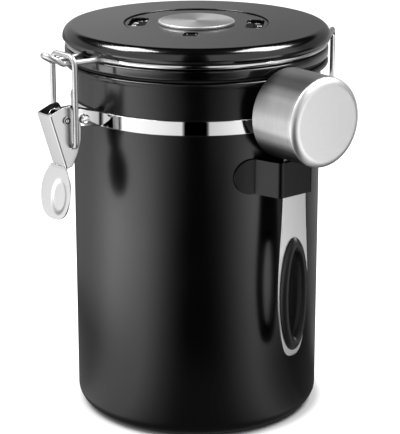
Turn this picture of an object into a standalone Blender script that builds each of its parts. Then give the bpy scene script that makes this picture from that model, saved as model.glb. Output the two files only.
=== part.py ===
"""Coffee canister with a hinged clamp lid, a date dial, a gas valve and a hanging scoop.

Run with Blender 4.5: blender --background --python part.py
Metres, +Z up. The origin is the middle of the base. The latch is at -X, the lid's hinge
at +X and the scoop at -Y.
"""

import math

import bmesh
import bpy
from mathutils import Matrix, Vector

# Clearances and counts shared by all pieces
GAP = 0.0003
CUT_OVERRUN = 0.002
MERGE_DISTANCE = 0.00001
BODY_SEGMENTS = 64
CUP_SEGMENTS = 40
SMALL_SEGMENTS = 24
FILLET_STEPS = 3

# Canister shell
BODY_RADIUS = 0.0600
BODY_WALL = 0.0010
BODY_CORNER = 0.0080
MOUTH_HEIGHT = 0.1750
RIM_PROJECTION = 0.0035
RIM_HEIGHT = 0.0028
RIM_FILLET = 0.0011
MOUTH_RADIUS = BODY_RADIUS - BODY_WALL
RIM_RADIUS = BODY_RADIUS + RIM_PROJECTION

# Clamp band round the canister, with its two folded ears
BAND_THICKNESS = 0.0009
BAND_HEIGHT = 0.0067
BAND_DROP = 0.0246
EAR_THICKNESS = 0.0010
EAR_SPACING = 0.0068
EAR_END_RADIUS = 0.0042
EAR_RISE = 0.0040
BAND_BOTTOM = MOUTH_HEIGHT - BAND_DROP
BAND_INNER_RADIUS = BODY_RADIUS + GAP
BAND_OUTER_RADIUS = BAND_INNER_RADIUS + BAND_THICKNESS
BAND_MIDDLE = BAND_BOTTOM + BAND_HEIGHT / 2
BAND_TOP = BAND_BOTTOM + BAND_HEIGHT
EAR_OUTER_Y = EAR_SPACING / 2 + EAR_THICKNESS

# Screw, spacer and nut that close the band
SCREW_REACH = 0.0092
SCREW_RISE = 0.0015
SCREW_RADIUS = 0.0013
SCREW_HEAD_RADIUS = 0.0023
SCREW_HEAD_HEIGHT = 0.0015
SCREW_SLOT_WIDTH = 0.0008
SPACER_WALL = 0.0010
NUT_RADIUS = 0.0026
NUT_HEIGHT = 0.0019
NUT_SIDES = 6
SCREW_X = -(BAND_OUTER_RADIUS + SCREW_REACH)
SCREW_Z = BAND_MIDDLE + SCREW_RISE
SCREW_HOLE_RADIUS = SCREW_RADIUS + GAP

# Lever of the latch and its pin
PIVOT_REACH = 0.0200
PIVOT_RISE = 0.0027
PIN_RADIUS = 0.0011
PIN_HEAD_RADIUS = 0.0018
PIN_HEAD_HEIGHT = 0.0007
PIN_DIMPLE_RADIUS = 0.0008
PIN_DIMPLE_DEPTH = 0.0005
LEVER_SHEET = 0.0008
LEVER_DEPTH = 0.0175
LEVER_HEIGHT = 0.0300
TAB_WIDTH = 0.0229
TAB_HEIGHT = 0.0244
TAB_LEAN_DEGREES = 8.5
TAB_RECESS_WIDTH = 0.0105
TAB_RECESS_HEIGHT = 0.0160
TAB_RECESS_DEPTH = 0.0003
PIVOT_X = -(BAND_OUTER_RADIUS + PIVOT_REACH)
PIVOT_Z = BAND_MIDDLE + PIVOT_RISE
LEVER_INNER_Y = EAR_OUTER_Y + GAP
LEVER_OUTER_Y = LEVER_INNER_Y + LEVER_SHEET
# Outline of the lever's side, as shares of its depth from the rear and its height
LEVER_PIVOT_SHARES = (0.491, 0.783)
LEVER_OUTLINE_SHARES = (
    (1.000, 0.893),
    (0.583, 0.987),
    (0.343, 1.000),
    (0.170, 0.860),
    (0.030, 0.720),
    (0.000, 0.590),
    (0.020, 0.420),
    (0.130, 0.220),
    (0.300, 0.040),
    (0.514, 0.007),
)
# Half outline of the thumb tab, as shares of its half width and its height downwards
TAB_OUTLINE_SHARES = (
    (0.50, -0.04),
    (0.66, 0.06),
    (0.86, 0.20),
    (0.98, 0.36),
    (1.00, 0.50),
    (0.95, 0.68),
    (0.80, 0.84),
    (0.56, 0.94),
    (0.29, 0.99),
)

# Wires: the lid's ring and the clamp
WIRE_RADIUS = 0.0013
WIRE_ROUND_STEPS = 2
WIRE_BEND_RADIUS = 0.0042
WIRE_HOOK_BEND_RADIUS = 0.0022
WIRE_BEND_STEPS = 5
RING_STEP_DEGREES = 7.5
CLAMP_HALF_WIDTH = 0.0087
CLAMP_HOLE_DROP = 0.0125
CLAMP_HOLE_OFFSET = 0.0030
CLAMP_END_INSET = 0.0011
CLAMP_END_Y = LEVER_INNER_Y - CLAMP_END_INSET
CLAMP_X = PIVOT_X + CLAMP_HOLE_OFFSET
CLAMP_Z = PIVOT_Z - CLAMP_HOLE_DROP
WIRE_HOLE_RADIUS = WIRE_RADIUS + GAP

# Lid: gasket, skirt, groove and bead above the canister's mouth
GASKET_THICKNESS = 0.0009
GASKET_INSET = 0.0011
SKIRT_HEIGHT = 0.0044
GROOVE_DEPTH = 0.0032
BEAD_PROJECTION = 0.0010
BEAD_FOOT_INSET = 0.0009
BEAD_FOOT_RISE = 0.0012
BEAD_HEIGHT = 0.0067
BEAD_ROUND = 0.0048
LID_CROWN_RISE = 0.0005
LID_SHEET = 0.0014
SKIRT_ROUND = 0.0008
GROOVE_RADIUS = RIM_RADIUS - GROOVE_DEPTH
BEAD_RADIUS = RIM_RADIUS + BEAD_PROJECTION
BEAD_FOOT_RADIUS = BEAD_RADIUS - BEAD_FOOT_INSET
BEAD_TOP_RADIUS = BEAD_RADIUS - BEAD_ROUND
LID_INNER_RADIUS = GROOVE_RADIUS - LID_SHEET
GROOVE_HEIGHT = 2 * (WIRE_RADIUS + GAP)
GASKET_BOTTOM = MOUTH_HEIGHT + GAP
SKIRT_BOTTOM = GASKET_BOTTOM + GASKET_THICKNESS + GAP
GROOVE_BOTTOM = SKIRT_BOTTOM + SKIRT_HEIGHT
GROOVE_TOP = GROOVE_BOTTOM + GROOVE_HEIGHT
LID_EDGE_TOP = GROOVE_TOP + BEAD_HEIGHT
LID_TOP = LID_EDGE_TOP + LID_CROWN_RISE
RING_RADIUS = GROOVE_RADIUS + GAP + WIRE_RADIUS
RING_Z = GROOVE_BOTTOM + GROOVE_HEIGHT / 2

# Nose of the lid's wire, which the clamp wire holds
NOSE_ROOT_HALF_WIDTH = 0.0070
NOSE_TIP_RADIUS = 0.0042
NOSE_BEND_REACH = 0.0196
NOSE_TIP_REACH = 0.0265
NOSE_TIP_RISE = 0.0042
NOSE_CORNER_RADIUS = 0.0030
CLAMP_SEAT_GAP = 0.00065
CLAMP_TOP = RING_Z + 2 * WIRE_RADIUS + CLAMP_SEAT_GAP

# Hinge bracket on the band, and the wire's legs that turn in it
HINGE_REACH = 0.0103
HINGE_EAR_Y = 0.0174
HINGE_LEG_OFFSET = 0.0026
HINGE_EAR_THICKNESS = 0.0012
HINGE_EAR_RADIUS = 0.0040
HINGE_PLATE_THICKNESS = 0.0010
HINGE_PLATE_HEIGHT = 0.0090
HINGE_END_INSET = 0.0022
HINGE_LEG_Y = HINGE_EAR_Y + HINGE_LEG_OFFSET
HINGE_WIRE_END_Y = HINGE_EAR_Y - HINGE_EAR_THICKNESS - HINGE_END_INSET
HINGE_X = BAND_OUTER_RADIUS + HINGE_REACH
HINGE_Z = BAND_MIDDLE
HINGE_PLATE_X = BAND_OUTER_RADIUS + GAP

# Date dial in the lid: cover, two number wheels, knob and its retainer
DIAL_RADIUS = 0.0350
DIAL_LEDGE_WIDTH = 0.0016
DIAL_GROOVE_WIDTH = 0.0008
DIAL_COVER_THICKNESS = 0.0008
DIAL_COVER_SINK = 0.0008
WHEEL_THICKNESS = 0.0006
WHEEL_CLEARANCE = 0.0006
DAY_RING_WIDTH = 0.0053
KNOB_RADIUS = 0.0184
KNOB_HEIGHT = 0.0015
KNOB_EDGE = 0.0004
SHAFT_RADIUS = 0.0030
RETAINER_RADIUS = 0.0065
RETAINER_THICKNESS = 0.0010
WINDOW_MARGIN = 0.0004
WINDOW_DEPTH = 0.0085
WINDOW_WIDTH = 0.0210
WINDOW_CORNER = 0.0030
POINTER_WINDOW_WIDTH = 0.0066
POINTER_WINDOW_DEPTH = 0.0090
POINTER_WINDOW_CORNER = 0.0010
DAY_WHEEL_RADIUS = DIAL_RADIUS - DIAL_LEDGE_WIDTH - WHEEL_CLEARANCE
MONTH_WHEEL_RADIUS = DAY_WHEEL_RADIUS - DAY_RING_WIDTH
WINDOW_OUTER_RADIUS = DAY_WHEEL_RADIUS - WINDOW_MARGIN
WINDOW_INNER_RADIUS = WINDOW_OUTER_RADIUS - WINDOW_DEPTH
SHAFT_HOLE_RADIUS = SHAFT_RADIUS + GAP
DIAL_COVER_TOP = LID_TOP - DIAL_COVER_SINK
DIAL_COVER_BOTTOM = DIAL_COVER_TOP - DIAL_COVER_THICKNESS
DIAL_LEDGE_Z = DIAL_COVER_BOTTOM - GAP
MONTH_WHEEL_TOP = DIAL_COVER_BOTTOM - GAP
MONTH_WHEEL_BOTTOM = MONTH_WHEEL_TOP - WHEEL_THICKNESS
DAY_WHEEL_TOP = MONTH_WHEEL_BOTTOM - GAP
DAY_WHEEL_BOTTOM = DAY_WHEEL_TOP - WHEEL_THICKNESS
DIAL_FLOOR_TOP = DAY_WHEEL_BOTTOM - GAP
DIAL_FLOOR_BOTTOM = DIAL_FLOOR_TOP - LID_SHEET
RETAINER_TOP = DIAL_FLOOR_BOTTOM - GAP
RETAINER_BOTTOM = RETAINER_TOP - RETAINER_THICKNESS
KNOB_BOTTOM = DIAL_COVER_TOP + GAP

# Plug inside the lid
PLUG_WALL = 0.0016
PLUG_DROP = 0.0060
PLUG_NECK_DEPTH = 0.0012
PLUG_FLANGE_HEIGHT = 0.0004
PLUG_TAPER_DEPTH = 0.0027
PLUG_TAPER_INSET = 0.0038
PLUG_FOOT_INSET = 0.0066
PLUG_CLEARANCE = 0.0009
PLUG_FLOOR = 0.0014
PLUG_VENT_RADIUS = 0.0050
PLUG_RADIUS = LID_INNER_RADIUS - GAP
PLUG_MOUTH_RADIUS = MOUTH_RADIUS - PLUG_CLEARANCE
PLUG_BOTTOM = MOUTH_HEIGHT - PLUG_DROP
PLUG_FLOOR_TOP = PLUG_BOTTOM + PLUG_FLOOR
PLUG_TOP = RETAINER_BOTTOM - GAP
GASKET_INNER_RADIUS = PLUG_RADIUS - PLUG_NECK_DEPTH + GAP
GASKET_OUTER_RADIUS = RIM_RADIUS - GASKET_INSET

# Gas valve under the plug: housing, filter, flap and cap
VALVE_RADIUS = 0.0130
VALVE_DEPTH = 0.0040
VALVE_WALL = 0.0012
VALVE_SLOT_COUNT = 6
VALVE_SLOT_RADIUS = 0.0010
VALVE_SLOT_RING_SHARE = 0.55
FILTER_THICKNESS = 0.0007
FLAP_PLAY = 0.0030
FLAP_THICKNESS = 0.0008
FLAP_LIFT = 0.0006
CAP_RADIUS = 0.0120
CAP_WALL = 0.0010
CAP_VENT_RADIUS = 0.0020
FLAP_RADIUS = CAP_RADIUS - CAP_WALL - FLAP_PLAY
VALVE_TOP = PLUG_BOTTOM - GAP
VALVE_BOTTOM = VALVE_TOP - VALVE_DEPTH
FLAP_BOTTOM = PLUG_FLOOR_TOP + GAP
FLAP_TOP = FLAP_BOTTOM + FLAP_THICKNESS
CAP_INNER_TOP = FLAP_TOP + FLAP_LIFT + GAP
CAP_TOP = CAP_INNER_TOP + CAP_WALL

# Scoop: cup, handle and grip
CUP_CLEARANCE = 0.0005
CUP_RADIUS = 0.0209
CUP_DEPTH = 0.0278
CUP_CORNER = 0.0040
CUP_WALL = 0.0008
HANDLE_SETBACK = 0.0048
HANDLE_THICKNESS = 0.0010
HANDLE_LENGTH = 0.0973
HANDLE_HALF_WIDTH = 0.0091
GRIP_RISE = 0.0311
GRIP_HALF_HEIGHT = 0.0279
GRIP_MARGIN = 0.0012
GRIP_CROWN = 0.0018
GRIP_BACK = 0.0012
GRIP_LIP = 0.0021
GRIP_BAND_HEIGHT = 0.0069
GRIP_BAND_WIDTH = 0.0043
OVAL_STEPS = 32
CUP_PLANE = BEAD_RADIUS + CUP_CLEARANCE
GRIP_HALF_WIDTH = HANDLE_HALF_WIDTH - GRIP_MARGIN
SLOT_HALF_HEIGHT = GRIP_HALF_HEIGHT - GRIP_BAND_HEIGHT
SLOT_HALF_WIDTH = GRIP_HALF_WIDTH - GRIP_BAND_WIDTH
# Half outline of the handle, as shares of its half width and its length upwards
HANDLE_OUTLINE_SHARES = (
    (0.28, 0.006),
    (0.55, 0.033),
    (0.74, 0.089),
    (0.84, 0.144),
    (0.92, 0.203),
    (0.98, 0.264),
    (1.00, 0.333),
    (0.985, 0.424),
    (0.935, 0.513),
    (0.875, 0.600),
    (0.815, 0.690),
    (0.760, 0.814),
    (0.740, 0.945),
)

# Bridge on the canister that the scoop's handle hangs in
BRIDGE_SHEET = 0.0008
BRIDGE_DROP = 0.0538
BRIDGE_HEIGHT = 0.0166
BRIDGE_HALF_LENGTH = 0.0236
BRIDGE_BEND = 0.0016
BRIDGE_FLARE = 0.0030
BRIDGE_BOTTOM = MOUTH_HEIGHT - BRIDGE_DROP
HANDLE_BACK = CUP_PLANE + HANDLE_SETBACK
HANDLE_FRONT = HANDLE_BACK + HANDLE_THICKNESS
BRIDGE_HALF_WIDTH = HANDLE_HALF_WIDTH + GAP
BRIDGE_FRONT = HANDLE_FRONT + GRIP_CROWN + GAP
BRIDGE_FOOT_RADIUS = BODY_RADIUS + GAP
HANDLE_TOP = BRIDGE_BOTTOM + BRIDGE_HEIGHT + GAP
HANDLE_BOTTOM = HANDLE_TOP - HANDLE_LENGTH
GRIP_CENTRE_Z = HANDLE_BOTTOM + GRIP_RISE
SCOOP_Z = HANDLE_TOP + CUP_RADIUS

# Pieces that move together
LID_PIECES = (
    "lid_cover",
    "lid_gasket",
    "lid_plug",
    "lid_wire",
    "dial_cover",
    "valve_housing",
    "valve_filter",
    "valve_cap",
)
MONTH_DIAL_PIECES = ("month_wheel", "dial_knob", "dial_retainer")
SCOOP_PIECES = ("scoop_cup", "scoop_handle", "scoop_grip")


def clear_scene():
    """Remove every object that the file opened with."""
    for item in list(bpy.data.objects):
        bpy.data.objects.remove(item, do_unlink=True)


def make_collection(name):
    """Return a new collection linked to the scene."""
    collection = bpy.data.collections.new(name)
    bpy.context.scene.collection.children.link(collection)
    return collection


def make_material(name, colour, roughness, metallic):
    """Return a Principled material."""
    material = bpy.data.materials.new(name)
    material.use_nodes = True
    shader = material.node_tree.nodes["Principled BSDF"]
    shader.inputs["Base Color"].default_value = (*colour, 1.0)
    shader.inputs["Roughness"].default_value = roughness
    shader.inputs["Metallic"].default_value = metallic
    material.diffuse_color = (*colour, 1.0)
    return material


def finish(item, collection, material=None):
    """Link an object to its collection and give it its material."""
    collection.objects.link(item)
    if material is not None:
        item.data.materials.append(material)
    return item


def smooth(item, angle=math.radians(35)):
    """Shade a mesh smooth and keep its sharp edges."""
    item.data.shade_smooth()
    item.data.set_sharp_from_angle(angle=angle)
    return item


def arc(centre_a, centre_b, radius, start_degrees, end_degrees, steps=FILLET_STEPS):
    """Return points of an arc in a plane, both ends included."""
    points = []
    for step in range(steps + 1):
        angle = math.radians(start_degrees + (end_degrees - start_degrees) * step / steps)
        points.append((centre_a + radius * math.cos(angle), centre_b + radius * math.sin(angle)))
    return points


def lathe(name, profile, collection, material=None, closed=True, steps=BODY_SEGMENTS, matrix=None):
    """Turn a profile of (radius, height) points about Z with a Screw modifier.

    A closed profile runs down its outer side. An open one starts and ends on the axis.
    """
    mesh = bpy.data.meshes.new(name)
    edges = [(i, i + 1) for i in range(len(profile) - 1)]
    if closed:
        edges.append((len(profile) - 1, 0))
    mesh.from_pydata([(radius, 0, height) for radius, height in profile], edges, [])
    item = bpy.data.objects.new(name, mesh)
    finish(item, collection, material)
    screw = item.modifiers.new("Turn", "SCREW")
    screw.axis = "Z"
    screw.angle = 2 * math.pi
    screw.steps = steps
    screw.render_steps = steps
    screw.use_merge_vertices = True
    screw.merge_threshold = MERGE_DISTANCE
    screw.use_smooth_shade = True
    if matrix is not None:
        item.matrix_world = matrix
    return item


def tube_profile(inner, outer, bottom, top):
    """Return the closed profile of a plain ring."""
    return [(inner, top), (outer, top), (outer, bottom), (inner, bottom)]


def disc_profile(radius, bottom, top):
    """Return the open profile of a plain disc."""
    return [(0, top), (radius, top), (radius, bottom), (0, bottom)]


def across_y(x, z):
    """Return the matrix that stands a turned piece's axis along Y."""
    return Matrix.Translation((x, 0, z)) @ Matrix.Rotation(math.radians(90), 4, "X")


def plate(name, outlines, thickness, collection, material=None, matrix=None, bezier=False):
    """Extrude flat outlines to a plate. Later outlines inside the first are holes."""
    curve = bpy.data.curves.new(name, "CURVE")
    curve.dimensions = "2D"
    curve.fill_mode = "BOTH"
    curve.extrude = thickness / 2
    curve.resolution_u = FILLET_STEPS
    for outline in outlines:
        spline = curve.splines.new("BEZIER" if bezier else "POLY")
        points = spline.bezier_points if bezier else spline.points
        points.add(len(outline) - 1)
        for point, (x, y) in zip(points, outline):
            if bezier:
                point.co = (x, y, 0)
                point.handle_left_type = "AUTO"
                point.handle_right_type = "AUTO"
            else:
                point.co = (x, y, 0, 1)
        spline.use_cyclic_u = True
    item = bpy.data.objects.new(name, curve)
    finish(item, collection, material)
    if matrix is not None:
        item.matrix_world = matrix
    return item


def wire(name, points, collection, material):
    """Run a round wire along points."""
    curve = bpy.data.curves.new(name, "CURVE")
    curve.dimensions = "3D"
    curve.bevel_depth = WIRE_RADIUS
    curve.bevel_resolution = WIRE_ROUND_STEPS
    curve.use_fill_caps = True
    spline = curve.splines.new("POLY")
    spline.points.add(len(points) - 1)
    for point, place in zip(spline.points, points):
        point.co = (*place, 1)
    item = bpy.data.objects.new(name, curve)
    return finish(item, collection, material)


def to_mesh(item, collection):
    """Replace an object by the mesh that it evaluates to, with its seams welded."""
    bpy.context.view_layer.update()
    name = item.name
    matrix = item.matrix_world.copy()
    graph = bpy.context.evaluated_depsgraph_get()
    mesh = bpy.data.meshes.new_from_object(item.evaluated_get(graph))
    shape = bmesh.new()
    shape.from_mesh(mesh)
    bmesh.ops.remove_doubles(shape, verts=shape.verts, dist=MERGE_DISTANCE)
    bmesh.ops.recalc_face_normals(shape, faces=shape.faces)
    shape.to_mesh(mesh)
    shape.free()
    bpy.data.objects.remove(item, do_unlink=True)
    mesh.name = name
    solid = bpy.data.objects.new(name, mesh)
    collection.objects.link(solid)
    solid.matrix_world = matrix
    return solid


def as_cutter(item):
    """Hide an object that only shapes others."""
    item.hide_render = True
    item.display_type = "WIRE"
    return item


def combine(item, other, operation):
    """Add an exact Boolean modifier that cuts, joins or trims with another object."""
    modifier = item.modifiers.new(operation.title(), "BOOLEAN")
    modifier.operation = operation
    modifier.solver = "EXACT"
    modifier.object = as_cutter(other)
    return item


def cutter_cylinder(name, radius, length, matrix, cutters, segments=SMALL_SEGMENTS):
    """Return a cylinder along its own Z that cuts holes."""
    mesh = bpy.data.meshes.new(name)
    shape = bmesh.new()
    bmesh.ops.create_cone(
        shape, cap_ends=True, segments=segments, radius1=radius, radius2=radius, depth=length
    )
    shape.to_mesh(mesh)
    shape.free()
    item = bpy.data.objects.new(name, mesh)
    cutters.objects.link(item)
    item.matrix_world = matrix
    return as_cutter(item)


def box(name, low, high, collection, material=None):
    """Return a box between two corners."""
    mesh = bpy.data.meshes.new(name)
    shape = bmesh.new()
    low = Vector(low)
    high = Vector(high)
    place = Matrix.Translation((low + high) / 2) @ Matrix.Diagonal((*(high - low), 1))
    bmesh.ops.create_cube(shape, size=1, matrix=place)
    shape.to_mesh(mesh)
    shape.free()
    item = bpy.data.objects.new(name, mesh)
    return finish(item, collection, material)


def rounded_path(corners):
    """Return a path through (point, bend radius) corners, with an arc at each bend."""
    path = []
    for index, (point, radius) in enumerate(corners):
        point = Vector(point)
        if radius == 0 or index in (0, len(corners) - 1):
            path.append(point)
            continue
        before = (Vector(corners[index - 1][0]) - point).normalized()
        after = (Vector(corners[index + 1][0]) - point).normalized()
        half = before.angle(after) / 2
        centre = point + (before + after).normalized() * (radius / math.sin(half))
        start = point + before * (radius / math.tan(half))
        end = point + after * (radius / math.tan(half))
        sweep = math.pi - 2 * half
        axis = (start - centre).cross(end - centre).normalized()
        for step in range(WIRE_BEND_STEPS + 1):
            turn = Matrix.Rotation(sweep * step / WIRE_BEND_STEPS, 3, axis)
            path.append(centre + turn @ (start - centre))
    return path


def mirrored(points):
    """Return points followed by their mirror images across the XZ plane, back to front."""
    return points + [Vector((p.x, -p.y, p.z)) for p in reversed(points)]


def side_matrix(x, z):
    """Return the matrix that stands a flat outline in the XZ plane."""
    return Matrix.Translation((x, 0, z)) @ Matrix.Rotation(math.radians(90), 4, "X")


def ellipse(half_width, half_height, steps=OVAL_STEPS):
    """Return the points of an ellipse round the origin."""
    turn = 2 * math.pi / steps
    return [
        (half_width * math.cos(turn * i), half_height * math.sin(turn * i)) for i in range(steps)
    ]


def make_shell(parts, materials):
    """Canister: a deep drawn pot with a rolled rim and a flat base."""
    base_radius = BODY_RADIUS - BODY_CORNER
    inner_corner = BODY_CORNER - BODY_WALL
    rim_round = RIM_HEIGHT / 2
    rim_centre = (RIM_RADIUS - rim_round, MOUTH_HEIGHT - rim_round)
    rim_bottom = MOUTH_HEIGHT - RIM_HEIGHT
    profile = [(0, BODY_WALL)]
    profile += arc(base_radius, BODY_CORNER, inner_corner, -90, 0)
    profile += [(MOUTH_RADIUS, MOUTH_HEIGHT)]
    profile += arc(*rim_centre, rim_round, 90, -90, 2 * FILLET_STEPS)
    profile += arc(BODY_RADIUS + RIM_FILLET, rim_bottom - RIM_FILLET, RIM_FILLET, 90, 180)
    profile += arc(base_radius, BODY_CORNER, BODY_CORNER, 0, -90, 2 * FILLET_STEPS)
    profile += [(0, 0)]
    return lathe("canister_shell", profile, parts, materials["black_coat"], closed=False)


def make_band(parts, cutters, materials):
    """Clamp band: a strap round the canister whose ends fold out as two ears."""
    band = lathe(
        "clamp_band",
        tube_profile(BAND_INNER_RADIUS, BAND_OUTER_RADIUS, BAND_BOTTOM, BAND_TOP),
        parts,
        materials["steel"],
    )
    gap_cutter = box(
        "band_gap",
        (-BAND_OUTER_RADIUS - CUT_OVERRUN, -EAR_SPACING / 2, BAND_BOTTOM - CUT_OVERRUN),
        (-BAND_INNER_RADIUS + CUT_OVERRUN, EAR_SPACING / 2, BAND_TOP + CUT_OVERRUN),
        cutters,
    )
    combine(band, gap_cutter, "DIFFERENCE")
    root = -(BAND_INNER_RADIUS + BAND_THICKNESS / 4)
    outline = [(root, BAND_BOTTOM), (root, BAND_TOP)]
    outline += [(SCREW_X + SCREW_HEAD_RADIUS, BAND_TOP + EAR_RISE / 2)]
    outline += [(SCREW_X - SCREW_HEAD_RADIUS, PIVOT_Z + EAR_END_RADIUS)]
    outline += arc(PIVOT_X, PIVOT_Z, EAR_END_RADIUS, 90, 270, 2 * FILLET_STEPS)
    outline += [(SCREW_X - SCREW_HEAD_RADIUS, PIVOT_Z - EAR_END_RADIUS)]
    for side in (-1, 1):
        place = Matrix.Translation((0, side * (EAR_SPACING + EAR_THICKNESS) / 2, 0))
        ear = plate(
            "band_ear", [outline], EAR_THICKNESS, cutters, matrix=place @ side_matrix(0, 0)
        )
        combine(band, to_mesh(ear, cutters), "UNION")
    length = 2 * EAR_OUTER_Y + 2 * CUT_OVERRUN
    for x, z, radius in (
        (PIVOT_X, PIVOT_Z, PIN_RADIUS + GAP),
        (SCREW_X, SCREW_Z, SCREW_HOLE_RADIUS),
    ):
        hole = cutter_cylinder("band_hole", radius, length, across_y(x, z), cutters)
        combine(band, hole, "DIFFERENCE")
    return smooth_later(band)


def smooth_later(item):
    """Mark a mesh's faces smooth; its modifiers keep the mark."""
    item.data.shade_smooth()
    return item


def make_band_fasteners(parts, cutters, materials):
    """Screw through the ears, the spacer between them and the nut on the far side."""
    place = across_y(SCREW_X, SCREW_Z)
    head_start = EAR_OUTER_Y + GAP
    head_end = head_start + SCREW_HEAD_HEIGHT
    tail = head_start + NUT_HEIGHT + GAP
    profile = [(0, head_end)]
    profile += arc(
        SCREW_HEAD_RADIUS - SCREW_HEAD_HEIGHT / 2,
        head_end - SCREW_HEAD_HEIGHT / 2,
        SCREW_HEAD_HEIGHT / 2,
        90,
        0,
    )
    profile += [(SCREW_HEAD_RADIUS, head_start), (SCREW_RADIUS, head_start)]
    profile += [(SCREW_RADIUS, -tail), (0, -tail)]
    screw = lathe(
        "band_screw", profile, parts, materials["steel"], False, SMALL_SEGMENTS, place
    )
    slot = box(
        "screw_slot",
        (
            SCREW_X - SCREW_HEAD_RADIUS - CUT_OVERRUN,
            -head_end - CUT_OVERRUN,
            SCREW_Z - SCREW_SLOT_WIDTH / 2,
        ),
        (
            SCREW_X + SCREW_HEAD_RADIUS + CUT_OVERRUN,
            -head_end + SCREW_SLOT_WIDTH,
            SCREW_Z + SCREW_SLOT_WIDTH / 2,
        ),
        cutters,
    )
    combine(screw, slot, "DIFFERENCE")
    half = EAR_SPACING / 2 - GAP
    lathe(
        "band_spacer",
        tube_profile(SCREW_HOLE_RADIUS, SCREW_HOLE_RADIUS + SPACER_WALL, -half, half),
        parts,
        materials["steel"],
        True,
        SMALL_SEGMENTS,
        place,
    )
    nut = cutter_cylinder(
        "band_nut",
        NUT_RADIUS,
        NUT_HEIGHT,
        Matrix.Translation((0, head_start + NUT_HEIGHT / 2, 0)) @ place,
        parts,
        NUT_SIDES,
    )
    nut.hide_render = False
    nut.display_type = "TEXTURED"
    nut.data.materials.append(materials["steel"])
    bore = cutter_cylinder(
        "nut_bore", SCREW_HOLE_RADIUS, 2 * (tail + CUT_OVERRUN), place, cutters
    )
    combine(nut, bore, "DIFFERENCE")


def lever_outline():
    """Return the lever's side outline in the XZ plane, relative to its pivot."""
    pivot_depth, pivot_height = LEVER_PIVOT_SHARES
    return [
        ((pivot_depth - depth) * LEVER_DEPTH, (height - pivot_height) * LEVER_HEIGHT)
        for depth, height in LEVER_OUTLINE_SHARES
    ]


def make_lever(parts, cutters, materials):
    """Latch lever: a folded channel on the pivot pin, with a pressed thumb tab below."""
    outline = lever_outline()
    web_top = Vector(outline[0])
    web_bottom = Vector(outline[-1])
    down = (web_bottom - web_top).normalized()
    inward = Vector((-down.y, down.x))
    if inward.x < 0:
        inward = -inward
    place = side_matrix(PIVOT_X, PIVOT_Z)
    lever = plate("latch_lever", [outline], 2 * LEVER_OUTER_Y, parts, matrix=place)
    lever = to_mesh(lever, parts)
    lever.data.materials.clear()
    lever.data.materials.append(materials["steel"])
    inner_top = web_top + inward * LEVER_SHEET - down * LEVER_HEIGHT
    inner_bottom = web_bottom + inward * LEVER_SHEET + down * LEVER_HEIGHT
    reach = Vector((LEVER_DEPTH + LEVER_HEIGHT, 0))
    hollow = plate(
        "lever_hollow",
        [[inner_top, inner_bottom, inner_bottom + reach, inner_top + reach]],
        2 * LEVER_INNER_Y,
        cutters,
        matrix=place,
    )
    combine(lever, to_mesh(hollow, cutters), "DIFFERENCE")
    tab_place = (
        Matrix.Translation((PIVOT_X + web_bottom.x, 0, PIVOT_Z + web_bottom.y))
        @ Matrix.Rotation(math.radians(TAB_LEAN_DEGREES), 4, "Y")
        @ Matrix.Rotation(math.radians(90), 4, "Z")
        @ Matrix.Rotation(math.radians(90), 4, "X")
    )
    half = [(w * TAB_WIDTH / 2, -h * TAB_HEIGHT) for w, h in TAB_OUTLINE_SHARES]
    outline = half + [(-x, y) for x, y in reversed(half)]
    tab = plate("lever_tab", [outline], LEVER_SHEET, cutters, matrix=tab_place)
    combine(lever, to_mesh(tab, cutters), "UNION")
    recess_centre = Matrix.Translation((0, -TAB_HEIGHT / 2, LEVER_SHEET / 2))
    recess = plate(
        "tab_recess",
        [ellipse(TAB_RECESS_WIDTH / 2, TAB_RECESS_HEIGHT / 2)],
        2 * TAB_RECESS_DEPTH,
        cutters,
        matrix=tab_place @ recess_centre,
    )
    combine(lever, to_mesh(recess, cutters), "DIFFERENCE")
    length = 2 * (LEVER_OUTER_Y + CUT_OVERRUN)
    for x, z, radius in (
        (PIVOT_X, PIVOT_Z, PIN_RADIUS + GAP),
        (CLAMP_X, CLAMP_Z, WIRE_HOLE_RADIUS),
    ):
        hole = cutter_cylinder("lever_hole", radius, length, across_y(x, z), cutters)
        combine(lever, hole, "DIFFERENCE")
    return lever


def make_pin(parts, materials):
    """Pivot pin of the lever, riveted over on both sides."""
    shoulder = LEVER_OUTER_Y + GAP
    end = shoulder + PIN_HEAD_HEIGHT
    half = [
        (0, end - PIN_DIMPLE_DEPTH),
        (PIN_DIMPLE_RADIUS, end),
        (PIN_HEAD_RADIUS, end),
        (PIN_HEAD_RADIUS, shoulder),
        (PIN_RADIUS, shoulder),
    ]
    profile = half + [(radius, -height) for radius, height in reversed(half)]
    return lathe(
        "lever_pin",
        profile,
        parts,
        materials["steel"],
        False,
        SMALL_SEGMENTS,
        across_y(PIVOT_X, PIVOT_Z),
    )


def make_clamp_wire(parts, materials):
    """Clamp wire: a bail hooked into the lever, whose crosspiece holds the lid's nose."""
    half = rounded_path(
        [
            ((CLAMP_X, -CLAMP_END_Y, CLAMP_Z), 0),
            ((CLAMP_X, -CLAMP_HALF_WIDTH, CLAMP_Z), WIRE_HOOK_BEND_RADIUS),
            ((CLAMP_X, -CLAMP_HALF_WIDTH, CLAMP_TOP), WIRE_BEND_RADIUS),
            ((CLAMP_X, 0, CLAMP_TOP), 0),
        ]
    )
    return wire("clamp_wire", mirrored(half[:-1]), parts, materials["steel"])


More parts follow.
